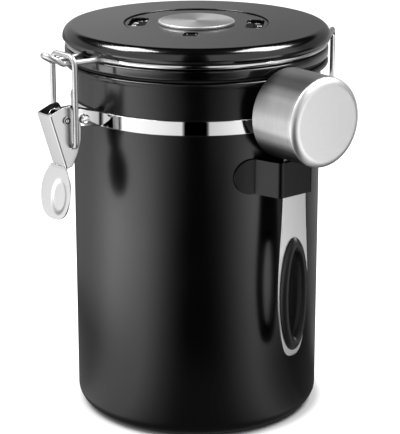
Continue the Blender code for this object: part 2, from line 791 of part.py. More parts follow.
def ring_wire_half():
    """Return half of the lid wire's path, from its hinge end to the nose's tip."""
    corner = Vector((HINGE_X, -HINGE_LEG_Y, RING_Z))
    corner_angle = math.atan2(corner.y, corner.x)
    tangent_angle = corner_angle - math.acos(RING_RADIUS / math.hypot(corner.x, corner.y))
    root_angle = math.pi - math.asin(NOSE_ROOT_HALF_WIDTH / RING_RADIUS)
    steps = math.ceil(math.degrees(root_angle + tangent_angle) / RING_STEP_DEGREES)
    corners = [
        ((HINGE_X, -HINGE_WIRE_END_Y, HINGE_Z), 0),
        ((HINGE_X, -HINGE_LEG_Y, HINGE_Z), WIRE_HOOK_BEND_RADIUS),
        (corner, WIRE_BEND_RADIUS),
    ]
    for step in range(steps + 1):
        angle = tangent_angle - (root_angle + tangent_angle) * step / steps
        radius = 0 if step < steps else NOSE_CORNER_RADIUS
        place = (RING_RADIUS * math.cos(angle), RING_RADIUS * math.sin(angle), RING_Z)
        corners.append((place, radius))
    bend_x = -(RING_RADIUS + NOSE_BEND_REACH)
    tip_x = -(RING_RADIUS + NOSE_TIP_REACH)
    tip_centre_x = tip_x + NOSE_TIP_RADIUS
    slope = NOSE_TIP_RISE / (bend_x - tip_x)
    corners.append(((bend_x, -NOSE_TIP_RADIUS, RING_Z), NOSE_CORNER_RADIUS))
    for x, y in arc(tip_centre_x, 0, NOSE_TIP_RADIUS, 270, 180, 2 * FILLET_STEPS):
        corners.append(((x, y, RING_Z + slope * (bend_x - x)), 0))
    return rounded_path(corners)


def make_lid_wire(parts, materials):
    """Lid wire: hinge legs at the back, the ring in the lid's groove, the nose in front."""
    return wire("lid_wire", mirrored(ring_wire_half()[:-1]), parts, materials["steel"])


def make_hinge_bracket(parts, cutters, materials):
    """Hinge bracket: a plate on the band with two ears that carry the lid wire's ends."""
    half_height = HINGE_PLATE_HEIGHT / 2
    ear_inner = HINGE_EAR_Y - HINGE_EAR_THICKNESS
    curve_radius = HINGE_PLATE_X
    bracket = lathe(
        "hinge_bracket",
        tube_profile(
            curve_radius,
            curve_radius + HINGE_PLATE_THICKNESS,
            HINGE_Z - half_height,
            HINGE_Z + half_height,
        ),
        parts,
        materials["steel"],
    )
    keep = box(
        "bracket_keep",
        (0, -HINGE_EAR_Y, HINGE_Z - 2 * half_height),
        (HINGE_X, HINGE_EAR_Y, HINGE_Z + 2 * half_height),
        cutters,
    )
    combine(bracket, keep, "INTERSECT")
    root = math.sqrt(curve_radius**2 - ear_inner**2) + HINGE_PLATE_THICKNESS / 4
    outline = [(root, HINGE_Z + half_height), (root, HINGE_Z - half_height)]
    outline += arc(HINGE_X, HINGE_Z, HINGE_EAR_RADIUS, -90, 90, 2 * FILLET_STEPS)
    for side in (-1, 1):
        place = Matrix.Translation((0, side * (HINGE_EAR_Y + ear_inner) / 2, 0))
        ear = plate(
            "bracket_ear", [outline], HINGE_EAR_THICKNESS, cutters, matrix=place @ side_matrix(0, 0)
        )
        combine(bracket, to_mesh(ear, cutters), "UNION")
    hole = cutter_cylinder(
        "bracket_hole",
        WIRE_HOLE_RADIUS,
        2 * (HINGE_EAR_Y + CUT_OVERRUN),
        across_y(HINGE_X, HINGE_Z),
        cutters,
    )
    return combine(bracket, hole, "DIFFERENCE")


def make_lid_cover(parts, materials):
    """Lid cover: flat top with the dial's recess, the bead, the wire's groove, the skirt."""
    ledge_inner = DIAL_RADIUS - DIAL_LEDGE_WIDTH
    bead_z = GROOVE_TOP + BEAD_FOOT_RISE
    profile = [(SHAFT_HOLE_RADIUS, DIAL_FLOOR_TOP), (ledge_inner, DIAL_FLOOR_TOP)]
    profile += [(ledge_inner, DIAL_LEDGE_Z), (DIAL_RADIUS, DIAL_LEDGE_Z), (DIAL_RADIUS, LID_TOP)]
    profile += [(BEAD_TOP_RADIUS, LID_EDGE_TOP)]
    for step in range(1, 2 * FILLET_STEPS + 1):
        turn = math.pi / 2 * step / (2 * FILLET_STEPS)
        profile.append(
            (
                BEAD_TOP_RADIUS + (BEAD_RADIUS - BEAD_TOP_RADIUS) * math.sin(turn),
                bead_z + (LID_EDGE_TOP - bead_z) * math.cos(turn),
            )
        )
    profile += [(BEAD_FOOT_RADIUS, GROOVE_TOP), (GROOVE_RADIUS, GROOVE_TOP)]
    profile += [(GROOVE_RADIUS, GROOVE_BOTTOM), (RIM_RADIUS - SKIRT_ROUND, GROOVE_BOTTOM)]
    profile += [(RIM_RADIUS, GROOVE_BOTTOM - SKIRT_ROUND), (RIM_RADIUS, SKIRT_BOTTOM + SKIRT_ROUND)]
    profile += [(RIM_RADIUS - SKIRT_ROUND, SKIRT_BOTTOM), (LID_INNER_RADIUS, SKIRT_BOTTOM)]
    profile += [(LID_INNER_RADIUS, LID_EDGE_TOP - LID_SHEET)]
    profile += [(DIAL_RADIUS + LID_SHEET, LID_TOP - LID_SHEET)]
    profile += [(DIAL_RADIUS + LID_SHEET, DIAL_FLOOR_BOTTOM), (SHAFT_HOLE_RADIUS, DIAL_FLOOR_BOTTOM)]
    return lathe("lid_cover", profile, parts, materials["black_coat"])


def make_gasket(parts, materials):
    """Gasket between the lid's skirt and the canister's rolled rim."""
    top = GASKET_BOTTOM + GASKET_THICKNESS
    profile = tube_profile(GASKET_INNER_RADIUS, GASKET_OUTER_RADIUS, GASKET_BOTTOM, top)
    return lathe("lid_gasket", profile, parts, materials["silicone"])


def make_plug(parts, materials):
    """Plug: the plastic inner lid, whose tapered foot enters the canister's mouth."""
    neck = PLUG_RADIUS - PLUG_NECK_DEPTH
    neck_bottom = GASKET_BOTTOM - GAP
    neck_top = GASKET_BOTTOM + GASKET_THICKNESS + GAP
    flange_bottom = neck_bottom - PLUG_FLANGE_HEIGHT
    taper = PLUG_MOUTH_RADIUS - PLUG_TAPER_INSET
    foot = PLUG_MOUTH_RADIUS - PLUG_FOOT_INSET
    inner = foot - PLUG_WALL
    profile = [(PLUG_RADIUS - PLUG_WALL, PLUG_TOP), (PLUG_RADIUS, PLUG_TOP), (PLUG_RADIUS, neck_top)]
    profile += [(neck, neck_top), (neck, neck_bottom), (PLUG_MOUTH_RADIUS, neck_bottom)]
    profile += [(PLUG_MOUTH_RADIUS, flange_bottom), (taper, flange_bottom - PLUG_TAPER_DEPTH)]
    profile += [(foot, PLUG_BOTTOM), (PLUG_VENT_RADIUS, PLUG_BOTTOM)]
    profile += [(PLUG_VENT_RADIUS, PLUG_FLOOR_TOP), (inner, PLUG_FLOOR_TOP)]
    profile += [(PLUG_RADIUS - PLUG_WALL - PLUG_NECK_DEPTH, neck_top)]
    return lathe("lid_plug", profile, parts, materials["plastic"])


def make_valve(parts, cutters, materials):
    """Gas valve: slotted housing, paper filter, silicone flap and vented cap."""
    inner = VALVE_RADIUS - VALVE_WALL
    floor_top = VALVE_BOTTOM + VALVE_WALL
    housing = lathe(
        "valve_housing",
        [
            (0, floor_top),
            (inner, floor_top),
            (inner, VALVE_TOP),
            (VALVE_RADIUS, VALVE_TOP),
            (VALVE_RADIUS, VALVE_BOTTOM),
            (0, VALVE_BOTTOM),
        ],
        parts,
        materials["plastic"],
        False,
        SMALL_SEGMENTS,
    )
    for index in range(VALVE_SLOT_COUNT):
        angle = 2 * math.pi * index / VALVE_SLOT_COUNT
        ring = VALVE_SLOT_RING_SHARE * VALVE_RADIUS
        place = Matrix.Translation((ring * math.cos(angle), ring * math.sin(angle), VALVE_BOTTOM))
        slot = cutter_cylinder(
            "valve_slot", VALVE_SLOT_RADIUS, 2 * (VALVE_WALL + CUT_OVERRUN), place, cutters, NUT_SIDES
        )
        combine(housing, slot, "DIFFERENCE")
    filter_bottom = floor_top + GAP
    lathe(
        "valve_filter",
        disc_profile(inner - GAP, filter_bottom, filter_bottom + FILTER_THICKNESS),
        parts,
        materials["filter"],
        False,
        SMALL_SEGMENTS,
    )
    lathe(
        "valve_flap",
        disc_profile(FLAP_RADIUS, FLAP_BOTTOM, FLAP_TOP),
        parts,
        materials["silicone"],
        False,
        SMALL_SEGMENTS,
    )
    lathe(
        "valve_cap",
        [
            (CAP_VENT_RADIUS, CAP_TOP),
            (CAP_RADIUS, CAP_TOP),
            (CAP_RADIUS, FLAP_BOTTOM),
            (CAP_RADIUS - CAP_WALL, FLAP_BOTTOM),
            (CAP_RADIUS - CAP_WALL, CAP_INNER_TOP),
            (CAP_VENT_RADIUS, CAP_INNER_TOP),
        ],
        parts,
        materials["plastic"],
        True,
        SMALL_SEGMENTS,
    )


def window_outline(inner, outer, width, corner):
    """Return a dial window's outline with rounded corners, along the X axis."""
    side = width / 2 - corner
    outline = arc(outer - corner, side, corner, 0, 90)
    outline += arc(inner + corner, side, corner, 90, 180)
    outline += arc(inner + corner, -side, corner, 180, 270)
    outline += arc(outer - corner, -side, corner, 270, 360)
    return outline


def make_dial(parts, cutters, materials):
    """Date dial: windowed cover, day wheel, month wheel turned by the knob, retainer."""
    cover_radius = DIAL_RADIUS - DIAL_GROOVE_WIDTH
    cover = lathe(
        "dial_cover",
        tube_profile(SHAFT_HOLE_RADIUS, cover_radius, DIAL_COVER_BOTTOM, DIAL_COVER_TOP),
        parts,
        materials["plastic"],
    )
    pointer_outer = WINDOW_OUTER_RADIUS
    pointer_inner = pointer_outer - POINTER_WINDOW_DEPTH
    windows = (
        (135, WINDOW_INNER_RADIUS, WINDOW_OUTER_RADIUS, WINDOW_WIDTH, WINDOW_CORNER),
        (315, WINDOW_INNER_RADIUS, WINDOW_OUTER_RADIUS, WINDOW_WIDTH, WINDOW_CORNER),
        (225, pointer_inner, pointer_outer, POINTER_WINDOW_WIDTH, POINTER_WINDOW_CORNER),
    )
    middle = Matrix.Translation((0, 0, (DIAL_COVER_BOTTOM + DIAL_COVER_TOP) / 2))
    length = DIAL_COVER_THICKNESS + 2 * CUT_OVERRUN
    for degrees, inner, outer, width, corner in windows:
        place = middle @ Matrix.Rotation(math.radians(degrees), 4, "Z")
        outline = window_outline(inner, outer, width, corner)
        window = plate("dial_window", [outline], length, cutters, matrix=place)
        combine(cover, to_mesh(window, cutters), "DIFFERENCE")
    lathe(
        "day_wheel",
        tube_profile(SHAFT_HOLE_RADIUS, DAY_WHEEL_RADIUS, DAY_WHEEL_BOTTOM, DAY_WHEEL_TOP),
        parts,
        materials["dark_plastic"],
    )
    lathe(
        "month_wheel",
        tube_profile(SHAFT_HOLE_RADIUS, MONTH_WHEEL_RADIUS, MONTH_WHEEL_BOTTOM, MONTH_WHEEL_TOP),
        parts,
        materials["dark_plastic"],
    )
    knob_top = KNOB_BOTTOM + KNOB_HEIGHT
    lathe(
        "dial_knob",
        [
            (0, knob_top),
            (KNOB_RADIUS - KNOB_EDGE, knob_top),
            (KNOB_RADIUS, knob_top - KNOB_EDGE),
            (KNOB_RADIUS, KNOB_BOTTOM),
            (SHAFT_RADIUS, KNOB_BOTTOM),
            (SHAFT_RADIUS, RETAINER_BOTTOM),
            (0, RETAINER_BOTTOM),
        ],
        parts,
        materials["steel"],
        False,
    )
    lathe(
        "dial_retainer",
        tube_profile(SHAFT_HOLE_RADIUS, RETAINER_RADIUS, RETAINER_BOTTOM, RETAINER_TOP),
        parts,
        materials["steel"],
        True,
        SMALL_SEGMENTS,
    )


def make_cup(parts, materials):
    """Scoop cup, lying on its side with its mouth to the canister."""
    inner = CUP_RADIUS - CUP_WALL
    corner = CUP_CORNER - CUP_WALL
    floor = CUP_DEPTH - CUP_WALL
    profile = [(0, CUP_DEPTH)]
    profile += arc(CUP_RADIUS - CUP_CORNER, CUP_DEPTH - CUP_CORNER, CUP_CORNER, 90, 0)
    profile += [(CUP_RADIUS, 0), (inner, 0)]
    profile += arc(inner - corner, floor - corner, corner, 0, 90)
    profile += [(0, floor)]
    place = Matrix.Translation((0, -CUP_PLANE, SCOOP_Z)) @ Matrix.Rotation(
        math.radians(90), 4, "X"
    )
    return lathe("scoop_cup", profile, parts, materials["steel"], False, CUP_SEGMENTS, place)


def handle_plane():
    """Return the matrix of the handle's mid plane, with outline height along world Z."""
    return Matrix.Translation((0, -(HANDLE_BACK + HANDLE_FRONT) / 2, 0)) @ Matrix.Rotation(
        math.radians(90), 4, "X"
    )


def make_handle(parts, cutters, materials):
    """Scoop handle: a flat strip, welded under the cup, that widens to an oval loop."""
    half = [
        (w * HANDLE_HALF_WIDTH, HANDLE_BOTTOM + h * HANDLE_LENGTH)
        for w, h in HANDLE_OUTLINE_SHARES
    ]
    shoulder = half[-1][0]
    reach = CUP_RADIUS + GAP
    for step in range(FILLET_STEPS + 1):
        x = shoulder * (1 - step / FILLET_STEPS)
        half.append((x, SCOOP_Z - math.sqrt(reach**2 - x**2)))
    half.pop()
    outline = half + [(0, SCOOP_Z - reach)] + [(-x, y) for x, y in reversed(half)]
    outline.append((0, HANDLE_BOTTOM))
    hole_width = SLOT_HALF_WIDTH + GRIP_LIP
    hole_height = SLOT_HALF_HEIGHT + GRIP_LIP
    hole = [(x, GRIP_CENTRE_Z + z) for x, z in ellipse(hole_width, hole_height)]
    handle = plate(
        "scoop_handle", [outline, hole], HANDLE_THICKNESS, parts, matrix=handle_plane()
    )
    handle = to_mesh(handle, parts)
    handle.data.materials.clear()
    handle.data.materials.append(materials["steel"])
    return handle


def make_grip(parts, materials):
    """Grip: an oval rubber ring in the handle's loop, crowned in front."""
    front = -HANDLE_FRONT
    back = -HANDLE_BACK
    crown = front - GRIP_CROWN
    neck_width = SLOT_HALF_WIDTH + GRIP_LIP - GAP
    neck_height = SLOT_HALF_HEIGHT + GRIP_LIP - GAP

    def ring(share, y):
        return (
            SLOT_HALF_WIDTH + share * GRIP_BAND_WIDTH,
            SLOT_HALF_HEIGHT + share * GRIP_BAND_HEIGHT,
            y,
        )

    sections = [
        ring(0.0, front - GRIP_CROWN / 2),
        ring(0.14, crown + GRIP_CROWN / 8),
        ring(0.36, crown),
        ring(0.64, crown + GRIP_CROWN / 8),
        ring(0.86, front - GRIP_CROWN / 2),
        ring(1.0, front - GAP),
        (neck_width, neck_height, front - GAP),
        (neck_width, neck_height, back + GAP),
        ring(0.8, back + GAP),
        ring(0.6, back + GRIP_BACK),
        ring(0.2, back + GRIP_BACK),
        ring(0.0, back + GRIP_BACK / 2),
    ]
    shape = bmesh.new()
    loops = []
    for half_width, half_height, y in sections:
        points = ellipse(half_width, half_height)
        loops.append([shape.verts.new((x, y, GRIP_CENTRE_Z + z)) for x, z in points])
    for index, loop in enumerate(loops):
        following = loops[(index + 1) % len(loops)]
        for step in range(OVAL_STEPS):
            after = (step + 1) % OVAL_STEPS
            shape.faces.new((loop[step], loop[after], following[after], following[step]))
    bmesh.ops.recalc_face_normals(shape, faces=shape.faces)
    mesh = bpy.data.meshes.new("scoop_grip")
    shape.to_mesh(mesh)
    shape.free()
    item = bpy.data.objects.new("scoop_grip", mesh)
    return smooth(finish(item, parts, materials["rubber"]))


def bridge_path():
    """Return half of the bridge's inner line in plan, from its foot's end to the middle."""
    foot = BRIDGE_FOOT_RADIUS
    base = BRIDGE_HALF_WIDTH + BRIDGE_FLARE
    points = []
    start = math.asin(BRIDGE_HALF_LENGTH / foot)
    end = math.asin((base + BRIDGE_SHEET) / foot)
    for step in range(FILLET_STEPS + 1):
        angle = start + (end - start) * step / FILLET_STEPS
        points.append((foot * math.sin(angle), -foot * math.cos(angle)))
    points.append((BRIDGE_HALF_WIDTH, -BRIDGE_FRONT + BRIDGE_BEND))
    points += arc(
        BRIDGE_HALF_WIDTH - BRIDGE_BEND, -BRIDGE_FRONT + BRIDGE_BEND, BRIDGE_BEND, 0, -90
    )[1:]
    return points


def make_bridge(parts, cutters, materials):
    """Scoop bridge: a raised strap with two round feet, on the canister's wall."""
    half = bridge_path()
    path = half + [(-x, y) for x, y in reversed(half)]
    mesh = bpy.data.meshes.new("scoop_bridge")
    shape = bmesh.new()
    low = [shape.verts.new((x, y, BRIDGE_BOTTOM)) for x, y in path]
    high = [shape.verts.new((x, y, BRIDGE_BOTTOM + BRIDGE_HEIGHT)) for x, y in path]
    for index in range(len(path) - 1):
        shape.faces.new((low[index], high[index], high[index + 1], low[index + 1]))
    shape.to_mesh(mesh)
    shape.free()
    bridge = finish(bpy.data.objects.new("scoop_bridge", mesh), parts, materials["black_coat"])
    solidify = bridge.modifiers.new("Sheet", "SOLIDIFY")
    solidify.thickness = BRIDGE_SHEET
    solidify.offset = 1
    solidify.use_even_offset = True
    radius = BRIDGE_HEIGHT / 2
    middle = BRIDGE_BOTTOM + radius
    straight = BRIDGE_HALF_LENGTH - radius
    stadium = arc(straight, middle, radius, -90, 90, 2 * FILLET_STEPS)
    stadium += arc(-straight, middle, radius, 90, 270, 2 * FILLET_STEPS)
    trim = plate(
        "bridge_trim",
        [stadium],
        2 * (BRIDGE_FRONT + CUT_OVERRUN),
        cutters,
        matrix=side_matrix(0, 0),
    )
    combine(bridge, to_mesh(trim, cutters), "INTERSECT")
    return smooth(bridge)


def make_axis(name, point, pieces, pivots):
    """Return an empty on a joint's axis that carries the pieces that move on it."""
    axis = bpy.data.objects.new(name, None)
    axis.location = point
    pivots.objects.link(axis)
    bpy.context.view_layer.update()
    for piece in pieces:
        attach(bpy.data.objects[piece], axis)
    return axis


def attach(child, parent):
    """Parent an object to another with its place in the world kept."""
    child.parent = parent
    child.matrix_parent_inverse = parent.matrix_world.inverted()


def hang_moving_pieces(pivots):
    """Carry each moving piece on its joint's axis, and each axis on the body it turns in."""
    lid = make_axis("lid_hinge_axis", (HINGE_X, 0, HINGE_Z), LID_PIECES, pivots)
    for name, point, pieces in (
        ("valve_axis", (0, 0, FLAP_BOTTOM), ("valve_flap",)),
        ("day_dial_axis", (0, 0, DAY_WHEEL_TOP), ("day_wheel",)),
        ("month_dial_axis", (0, 0, KNOB_BOTTOM), MONTH_DIAL_PIECES),
    ):
        attach(make_axis(name, point, pieces, pivots), lid)
    lever = make_axis("lever_axis", (PIVOT_X, 0, PIVOT_Z), ("latch_lever",), pivots)
    attach(make_axis("clamp_axis", (CLAMP_X, 0, CLAMP_Z), ("clamp_wire",), pivots), lever)
    make_axis("scoop_axis", (0, -CUP_PLANE, SCOOP_Z), SCOOP_PIECES, pivots)


def main():
    """Build every piece of the canister."""
    clear_scene()
    parts = make_collection("coffee_canister")
    cutters = make_collection("cutters")
    pivots = make_collection("joint_axes")
    materials = {
        "black_coat": make_material("black_coat", (0.020, 0.020, 0.021), 0.38, 0.0),
        "steel": make_material("steel", (0.72, 0.72, 0.72), 0.24, 1.0),
        "plastic": make_material("plastic", (0.018, 0.018, 0.019), 0.42, 0.0),
        "dark_plastic": make_material("dark_plastic", (0.010, 0.010, 0.011), 0.50, 0.0),
        "silicone": make_material("silicone", (0.015, 0.015, 0.015), 0.60, 0.0),
        "rubber": make_material("rubber", (0.022, 0.022, 0.023), 0.55, 0.0),
        "filter": make_material("filter", (0.80, 0.78, 0.74), 0.90, 0.0),
    }
    make_shell(parts, materials)
    make_band(parts, cutters, materials)
    make_band_fasteners(parts, cutters, materials)
    make_hinge_bracket(parts, cutters, materials)
    make_bridge(parts, cutters, materials)
    make_lid_cover(parts, materials)
    make_gasket(parts, materials)
    make_plug(parts, materials)
    make_valve(parts, cutters, materials)
    make_dial(parts, cutters, materials)
    make_lid_wire(parts, materials)
    make_lever(parts, cutters, materials)
    make_pin(parts, materials)
    make_clamp_wire(parts, materials)
    make_cup(parts, materials)
    make_handle(parts, cutters, materials)
    make_grip(parts, materials)
    hang_moving_pieces(pivots)


main()
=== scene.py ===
"""Looks of a round black coffee canister with a clamp lid, a date dial and a hanging scoop.

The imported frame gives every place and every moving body. Each sub-assembly below is a class
that builds its pieces at full detail over the frame's solids and dresses them. The canister
stands on the floor's origin, with its latch at -X, the lid's hinge at +X and the scoop at -Y.
"""

import logging
import math
from collections.abc import Callable, Sequence
from dataclasses import dataclass
from enum import Enum
from functools import cache

import bmesh
import bpy
from mathutils import Matrix, Vector


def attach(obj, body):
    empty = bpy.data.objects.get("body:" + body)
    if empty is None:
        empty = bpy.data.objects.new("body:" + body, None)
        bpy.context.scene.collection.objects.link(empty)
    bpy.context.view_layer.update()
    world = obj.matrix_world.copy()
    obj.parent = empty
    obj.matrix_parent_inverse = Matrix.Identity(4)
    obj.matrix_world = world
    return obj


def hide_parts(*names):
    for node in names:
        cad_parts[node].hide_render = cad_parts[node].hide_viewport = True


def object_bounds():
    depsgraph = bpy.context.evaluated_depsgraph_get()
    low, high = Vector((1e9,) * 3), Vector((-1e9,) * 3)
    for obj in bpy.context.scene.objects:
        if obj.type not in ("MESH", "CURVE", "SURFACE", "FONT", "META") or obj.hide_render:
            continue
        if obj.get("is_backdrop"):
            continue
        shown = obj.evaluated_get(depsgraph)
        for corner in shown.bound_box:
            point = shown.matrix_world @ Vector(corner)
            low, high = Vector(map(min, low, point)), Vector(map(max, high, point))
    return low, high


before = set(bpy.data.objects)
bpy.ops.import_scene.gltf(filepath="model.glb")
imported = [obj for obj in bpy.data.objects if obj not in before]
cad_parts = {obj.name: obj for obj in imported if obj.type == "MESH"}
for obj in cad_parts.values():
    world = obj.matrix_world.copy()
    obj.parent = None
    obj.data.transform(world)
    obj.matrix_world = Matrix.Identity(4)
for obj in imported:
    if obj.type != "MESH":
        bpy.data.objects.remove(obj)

CAD_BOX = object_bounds()
LOG = logging.getLogger("canister")

Points = list[Vector]
Colour = tuple[float, float, float]
Spot = tuple[float, float, float]
Pair = tuple[float, float]
Table = tuple[Pair, ...]
Item = bpy.types.Object
Tree = bpy.types.NodeTree
Socket = bpy.types.NodeSocket

UP = Vector((0, 0, 1))
MM = 0.001
GAP = 0.3 * MM
TINY = 0.001 * MM
FINE_EDGE = 0.12 * MM
FINE_TURN = 192
SMALL_TURN = 48
NEARLY_STRAIGHT = math.pi - 0.01
SHARP_ANGLE = math.radians(35)
BEVEL_ANGLE = math.radians(40)
FLAT_ANGLE = math.radians(1)

# Noise levels at the edge of a wiped patch, and how coarse the mask of a grain's colour is
PATCH_EDGE = (0.42, 0.68)
WIDE_GRAIN = 0.02

# Places and sizes that more than one sub-assembly shares
PIN = (-81.2 * MM, 156.45 * MM)
PIN_HOLE = 1.4 * MM
SCREW_HOLE = 1.6 * MM
SHAFT_HOLE = 3.3 * MM
WIRE = 1.3 * MM
WIRE_SIDES = 24
WIRE_BEND = 2.2 * MM
WIRE_CORNER = 4.2 * MM
CUP_MOUTH = 65.0 * MM
CUP_AXIS = 159.0 * MM


# Paths and meshes


def linked(name: str, data: bpy.types.ID) -> Item:
    """Link a new object to the scene.

    Args:
        name: The object's name.
        data: Its data.

    Returns:
        The object.
    """
    item = bpy.data.objects.new(name, data)
    bpy.context.scene.collection.objects.link(item)
    return item


def arc(middle: Pair, radius: float, start: float, end: float, steps: int) -> Points:
    """Draw a flat arc.

    Args:
        middle: Its centre.
        radius: Its radius.
        start: Its first angle in degrees.
        end: Its last angle.
        steps: Number of its chords.

    Returns:
        The arc's points.
    """
    turns = [math.radians(start + (end - start) * step / steps) for step in range(steps + 1)]
    x, y = middle
    return [Vector((x + radius * math.cos(t), y + radius * math.sin(t), 0)) for t in turns]


def bent(corners: Sequence[tuple[Vector, float]], closed: bool = False, steps: int = 6) -> Points:
    """Round the corners of a path.

    Args:
        corners: Pairs of a corner and its bend radius, which is 0 for a sharp one.
        closed: Whether the last corner joins the first.
        steps: Chords in each bend.

    Returns:
        The path's points.
    """
    path: Points = []
    for index, (corner, radius) in enumerate(corners):
        before = corners[index - 1][0] - corner
        after = corners[(index + 1) % len(corners)][0] - corner
        sharp = radius == 0 or (not closed and index in (0, len(corners) - 1))
        if sharp or min(before.length, after.length) < TINY:
            path.append(corner.copy())
            continue
        angle = before.angle(after)
        if angle > NEARLY_STRAIGHT:
            path.append(corner.copy())
            continue
        before.normalize()
        after.normalize()
        centre = corner + (before + after).normalized() * (radius / math.sin(angle / 2))
        start = corner + before * (radius / math.tan(angle / 2)) - centre
        end = corner + after * (radius / math.tan(angle / 2)) - centre
        axis = start.cross(end).normalized()
        turns = [(math.pi - angle) * step / steps for step in range(steps + 1)]
        path += [centre + Matrix.Rotation(turn, 3, axis) @ start for turn in turns]
    return path


def flat(points: Sequence[Spot], closed: bool = True, steps: int = 6) -> Points:
    """Return a flat path from (x, y, bend radius) corners."""
    return bent([(Vector((x, y, 0)), radius) for x, y, radius in points], closed, steps)


def mirrored(half: Points, x: float = 1, y: float = 1) -> Points:
    """Return a path followed by its mirror image, back from its last point."""
    return [*half, *(Vector((x * p.x, y * p.y, p.z)) for p in reversed(half[:-1]))]


def smooth_through(points: Sequence[Pair], steps: int = 6) -> Points:
    """Draw a soft curve through points, with its two ends kept.

    Args:
        points: The points that the curve passes.
        steps: Chords from each point to the next.

    Returns:
        The curve's points.
    """
    known = [Vector((*point, 0)) for point in points]
    known = [2 * known[0] - known[1], *known, 2 * known[-1] - known[-2]]
    curve: Points = []
    for i in range(1, len(known) - 2):
        p0, p1, p2, p3 = known[i - 1 : i + 3]
        for t in (step / steps for step in range(steps)):
            curve.append(
                (2 * p1 + (p2 - p0) * t + (2 * p0 - 5 * p1 + 4 * p2 - p3) * t**2
                 + (3 * p1 - p0 - 3 * p2 + p3) * t**3) / 2
            )
    return [*curve, known[-2]]


def oval(half_width: float, half_height: float, height: float = 0, steps: int = 64) -> Points:
    """Draw an ellipse round (0, height).

    Args:
        half_width: Half its width.
        half_height: Half its height.
        height: Height of its centre.
        steps: Number of its chords.

    Returns:
        The ellipse's points.
    """
    turns = [2 * math.pi * k / steps for k in range(steps)]
    ways = [(half_width * math.cos(turn), half_height * math.sin(turn)) for turn in turns]
    return [Vector((across, height + along, 0)) for across, along in ways]


def from_bmesh(name: str, shape: bmesh.types.BMesh, outward: bool = True) -> Item:
    """Turn a bmesh into a linked object.

    Args:
        name: The piece's name.
        shape: The bmesh, which is freed.
        outward: Whether its doubles are merged and its faces turned outwards first.

    Returns:
        The new object.
    """
    if outward:
        bmesh.ops.remove_doubles(shape, verts=shape.verts, dist=TINY)
        bmesh.ops.recalc_face_normals(shape, faces=shape.faces)
    mesh = bpy.data.meshes.new(name)
    shape.to_mesh(mesh)
    shape.free()
    return linked(name, mesh)


def turned(
    name: str,
    profile: Sequence[Vector],
    place: Matrix | None = None,
    turns: int = FINE_TURN,
    closed: bool = False,
    inside_from: int | None = None,
) -> Item:
    """Turn a profile into a solid.

    Args:
        name: The piece's name.
        profile: (radius, height) points. An open profile starts and ends on the axis.
        place: Where the axis stands. The default is the canister's own axis.
        turns: Faces round the axis.
        closed: Whether the last point joins the first.
        inside_from: First profile section that takes the second material.

    Returns:
        The new object, with its place in its mesh.
    """
    shape = bmesh.new()
    place = place or Matrix.Identity(4)
    angles = [2 * math.pi * k / turns for k in range(turns)]
    rings = []
    for r, z in ((point.x, point.y) for point in profile):
        spots = [(0, 0, z)]
        if r >= TINY:
            spots = [(r * math.cos(angle), r * math.sin(angle), z) for angle in angles]
        rings.append([shape.verts.new(place @ Vector(spot)) for spot in spots])
    for index in range(len(rings) if closed else len(rings) - 1):
        low, high = rings[index], rings[(index + 1) % len(rings)]
        if len(low) == len(high) == 1:
            continue
        for k in range(turns):
            j = (k + 1) % turns
            corners = [low[i % len(low)] for i in (k, j)] + [high[i % len(high)] for i in (j, k)]
            face = shape.faces.new(dict.fromkeys(corners))
            face.material_index = int(inside_from is not None and index >= inside_from)
    return from_bmesh(name, shape)


def cut_plate(
    name: str, outlines: Sequence[Points], thickness: float, edge: float, place: Matrix
) -> Item:
    """Cut a flat plate with rounded edges.

    Args:
        name: The piece's name.
        outlines: The outer outline and then the holes.
        thickness: The plate's thickness, centred on the outline's plane.
        edge: Radius of its rounded edges.
        place: Where the outline's plane stands.

    Returns:
        The plate as a mesh object, with its place in its mesh.
    """
    curve = bpy.data.curves.new(name, "CURVE")
    curve.dimensions = "2D"
    curve.fill_mode = "BOTH"
    curve.extrude = thickness / 2 - edge
    curve.bevel_depth = edge
    curve.bevel_resolution = 2
    curve.offset = -edge
    for outline in outlines:
        spline = curve.splines.new("POLY")
        spline.points.add(len(outline) - 1)
        for point, where in zip(spline.points, outline):
            point.co = (where.x, where.y, 0, 1)
        spline.use_cyclic_u = True
    return plain(linked(name, curve), place)


def prism(name: str, outline: Points, thickness: float, place: Matrix) -> Item:
    """Make a sharp-edged plate, for cuts.

    Args:
        name: The object's name.
        outline: Its outline.
        thickness: Its thickness, centred on the outline's plane.
        place: Where the outline's plane stands.

    Returns:
        The plate.
    """
    shape = bmesh.new()
    ends = []
    for height in (-thickness / 2, thickness / 2):
        ends.append([shape.verts.new(place @ Vector((p.x, p.y, height))) for p in outline])
        shape.faces.new(ends[-1])
    for k in range(len(outline)):
        shape.faces.new((ends[0][k - 1], ends[0][k], ends[1][k], ends[1][k - 1]))
    return from_bmesh(name, shape)


def plain(item: Item, place: Matrix | None = None) -> Item:
    """Replace an object by the plain mesh that it evaluates to, welded and facing outwards.

    Args:
        item: A curve, a text or a mesh with modifiers, which is removed.
        place: Where it goes, which then stands in the mesh.

    Returns:
        The new mesh object, at the origin.
    """
    bpy.context.view_layer.update()
    name = item.name
    evaluated = item.evaluated_get(bpy.context.evaluated_depsgraph_get())
    mesh = bpy.data.meshes.new_from_object(evaluated)
    mesh.transform((place or Matrix.Identity(4)) @ item.matrix_world)
    shape = bmesh.new()
    shape.from_mesh(mesh)
    bpy.data.objects.remove(item, do_unlink=True)
    bpy.data.meshes.remove(mesh)
    return from_bmesh(name, shape)


def soften(item: Item, edge: float) -> None:
    """Add a Bevel that rounds an object's sharp edges.

    Args:
        item: The object.
        edge: Radius of the edges.
    """
    bevel = item.modifiers.new("Edges", "BEVEL")
    bevel.width = edge
    bevel.segments = 2
    bevel.limit_method = "ANGLE"
    bevel.angle_limit = BEVEL_ANGLE
    bevel.use_clamp_overlap = True


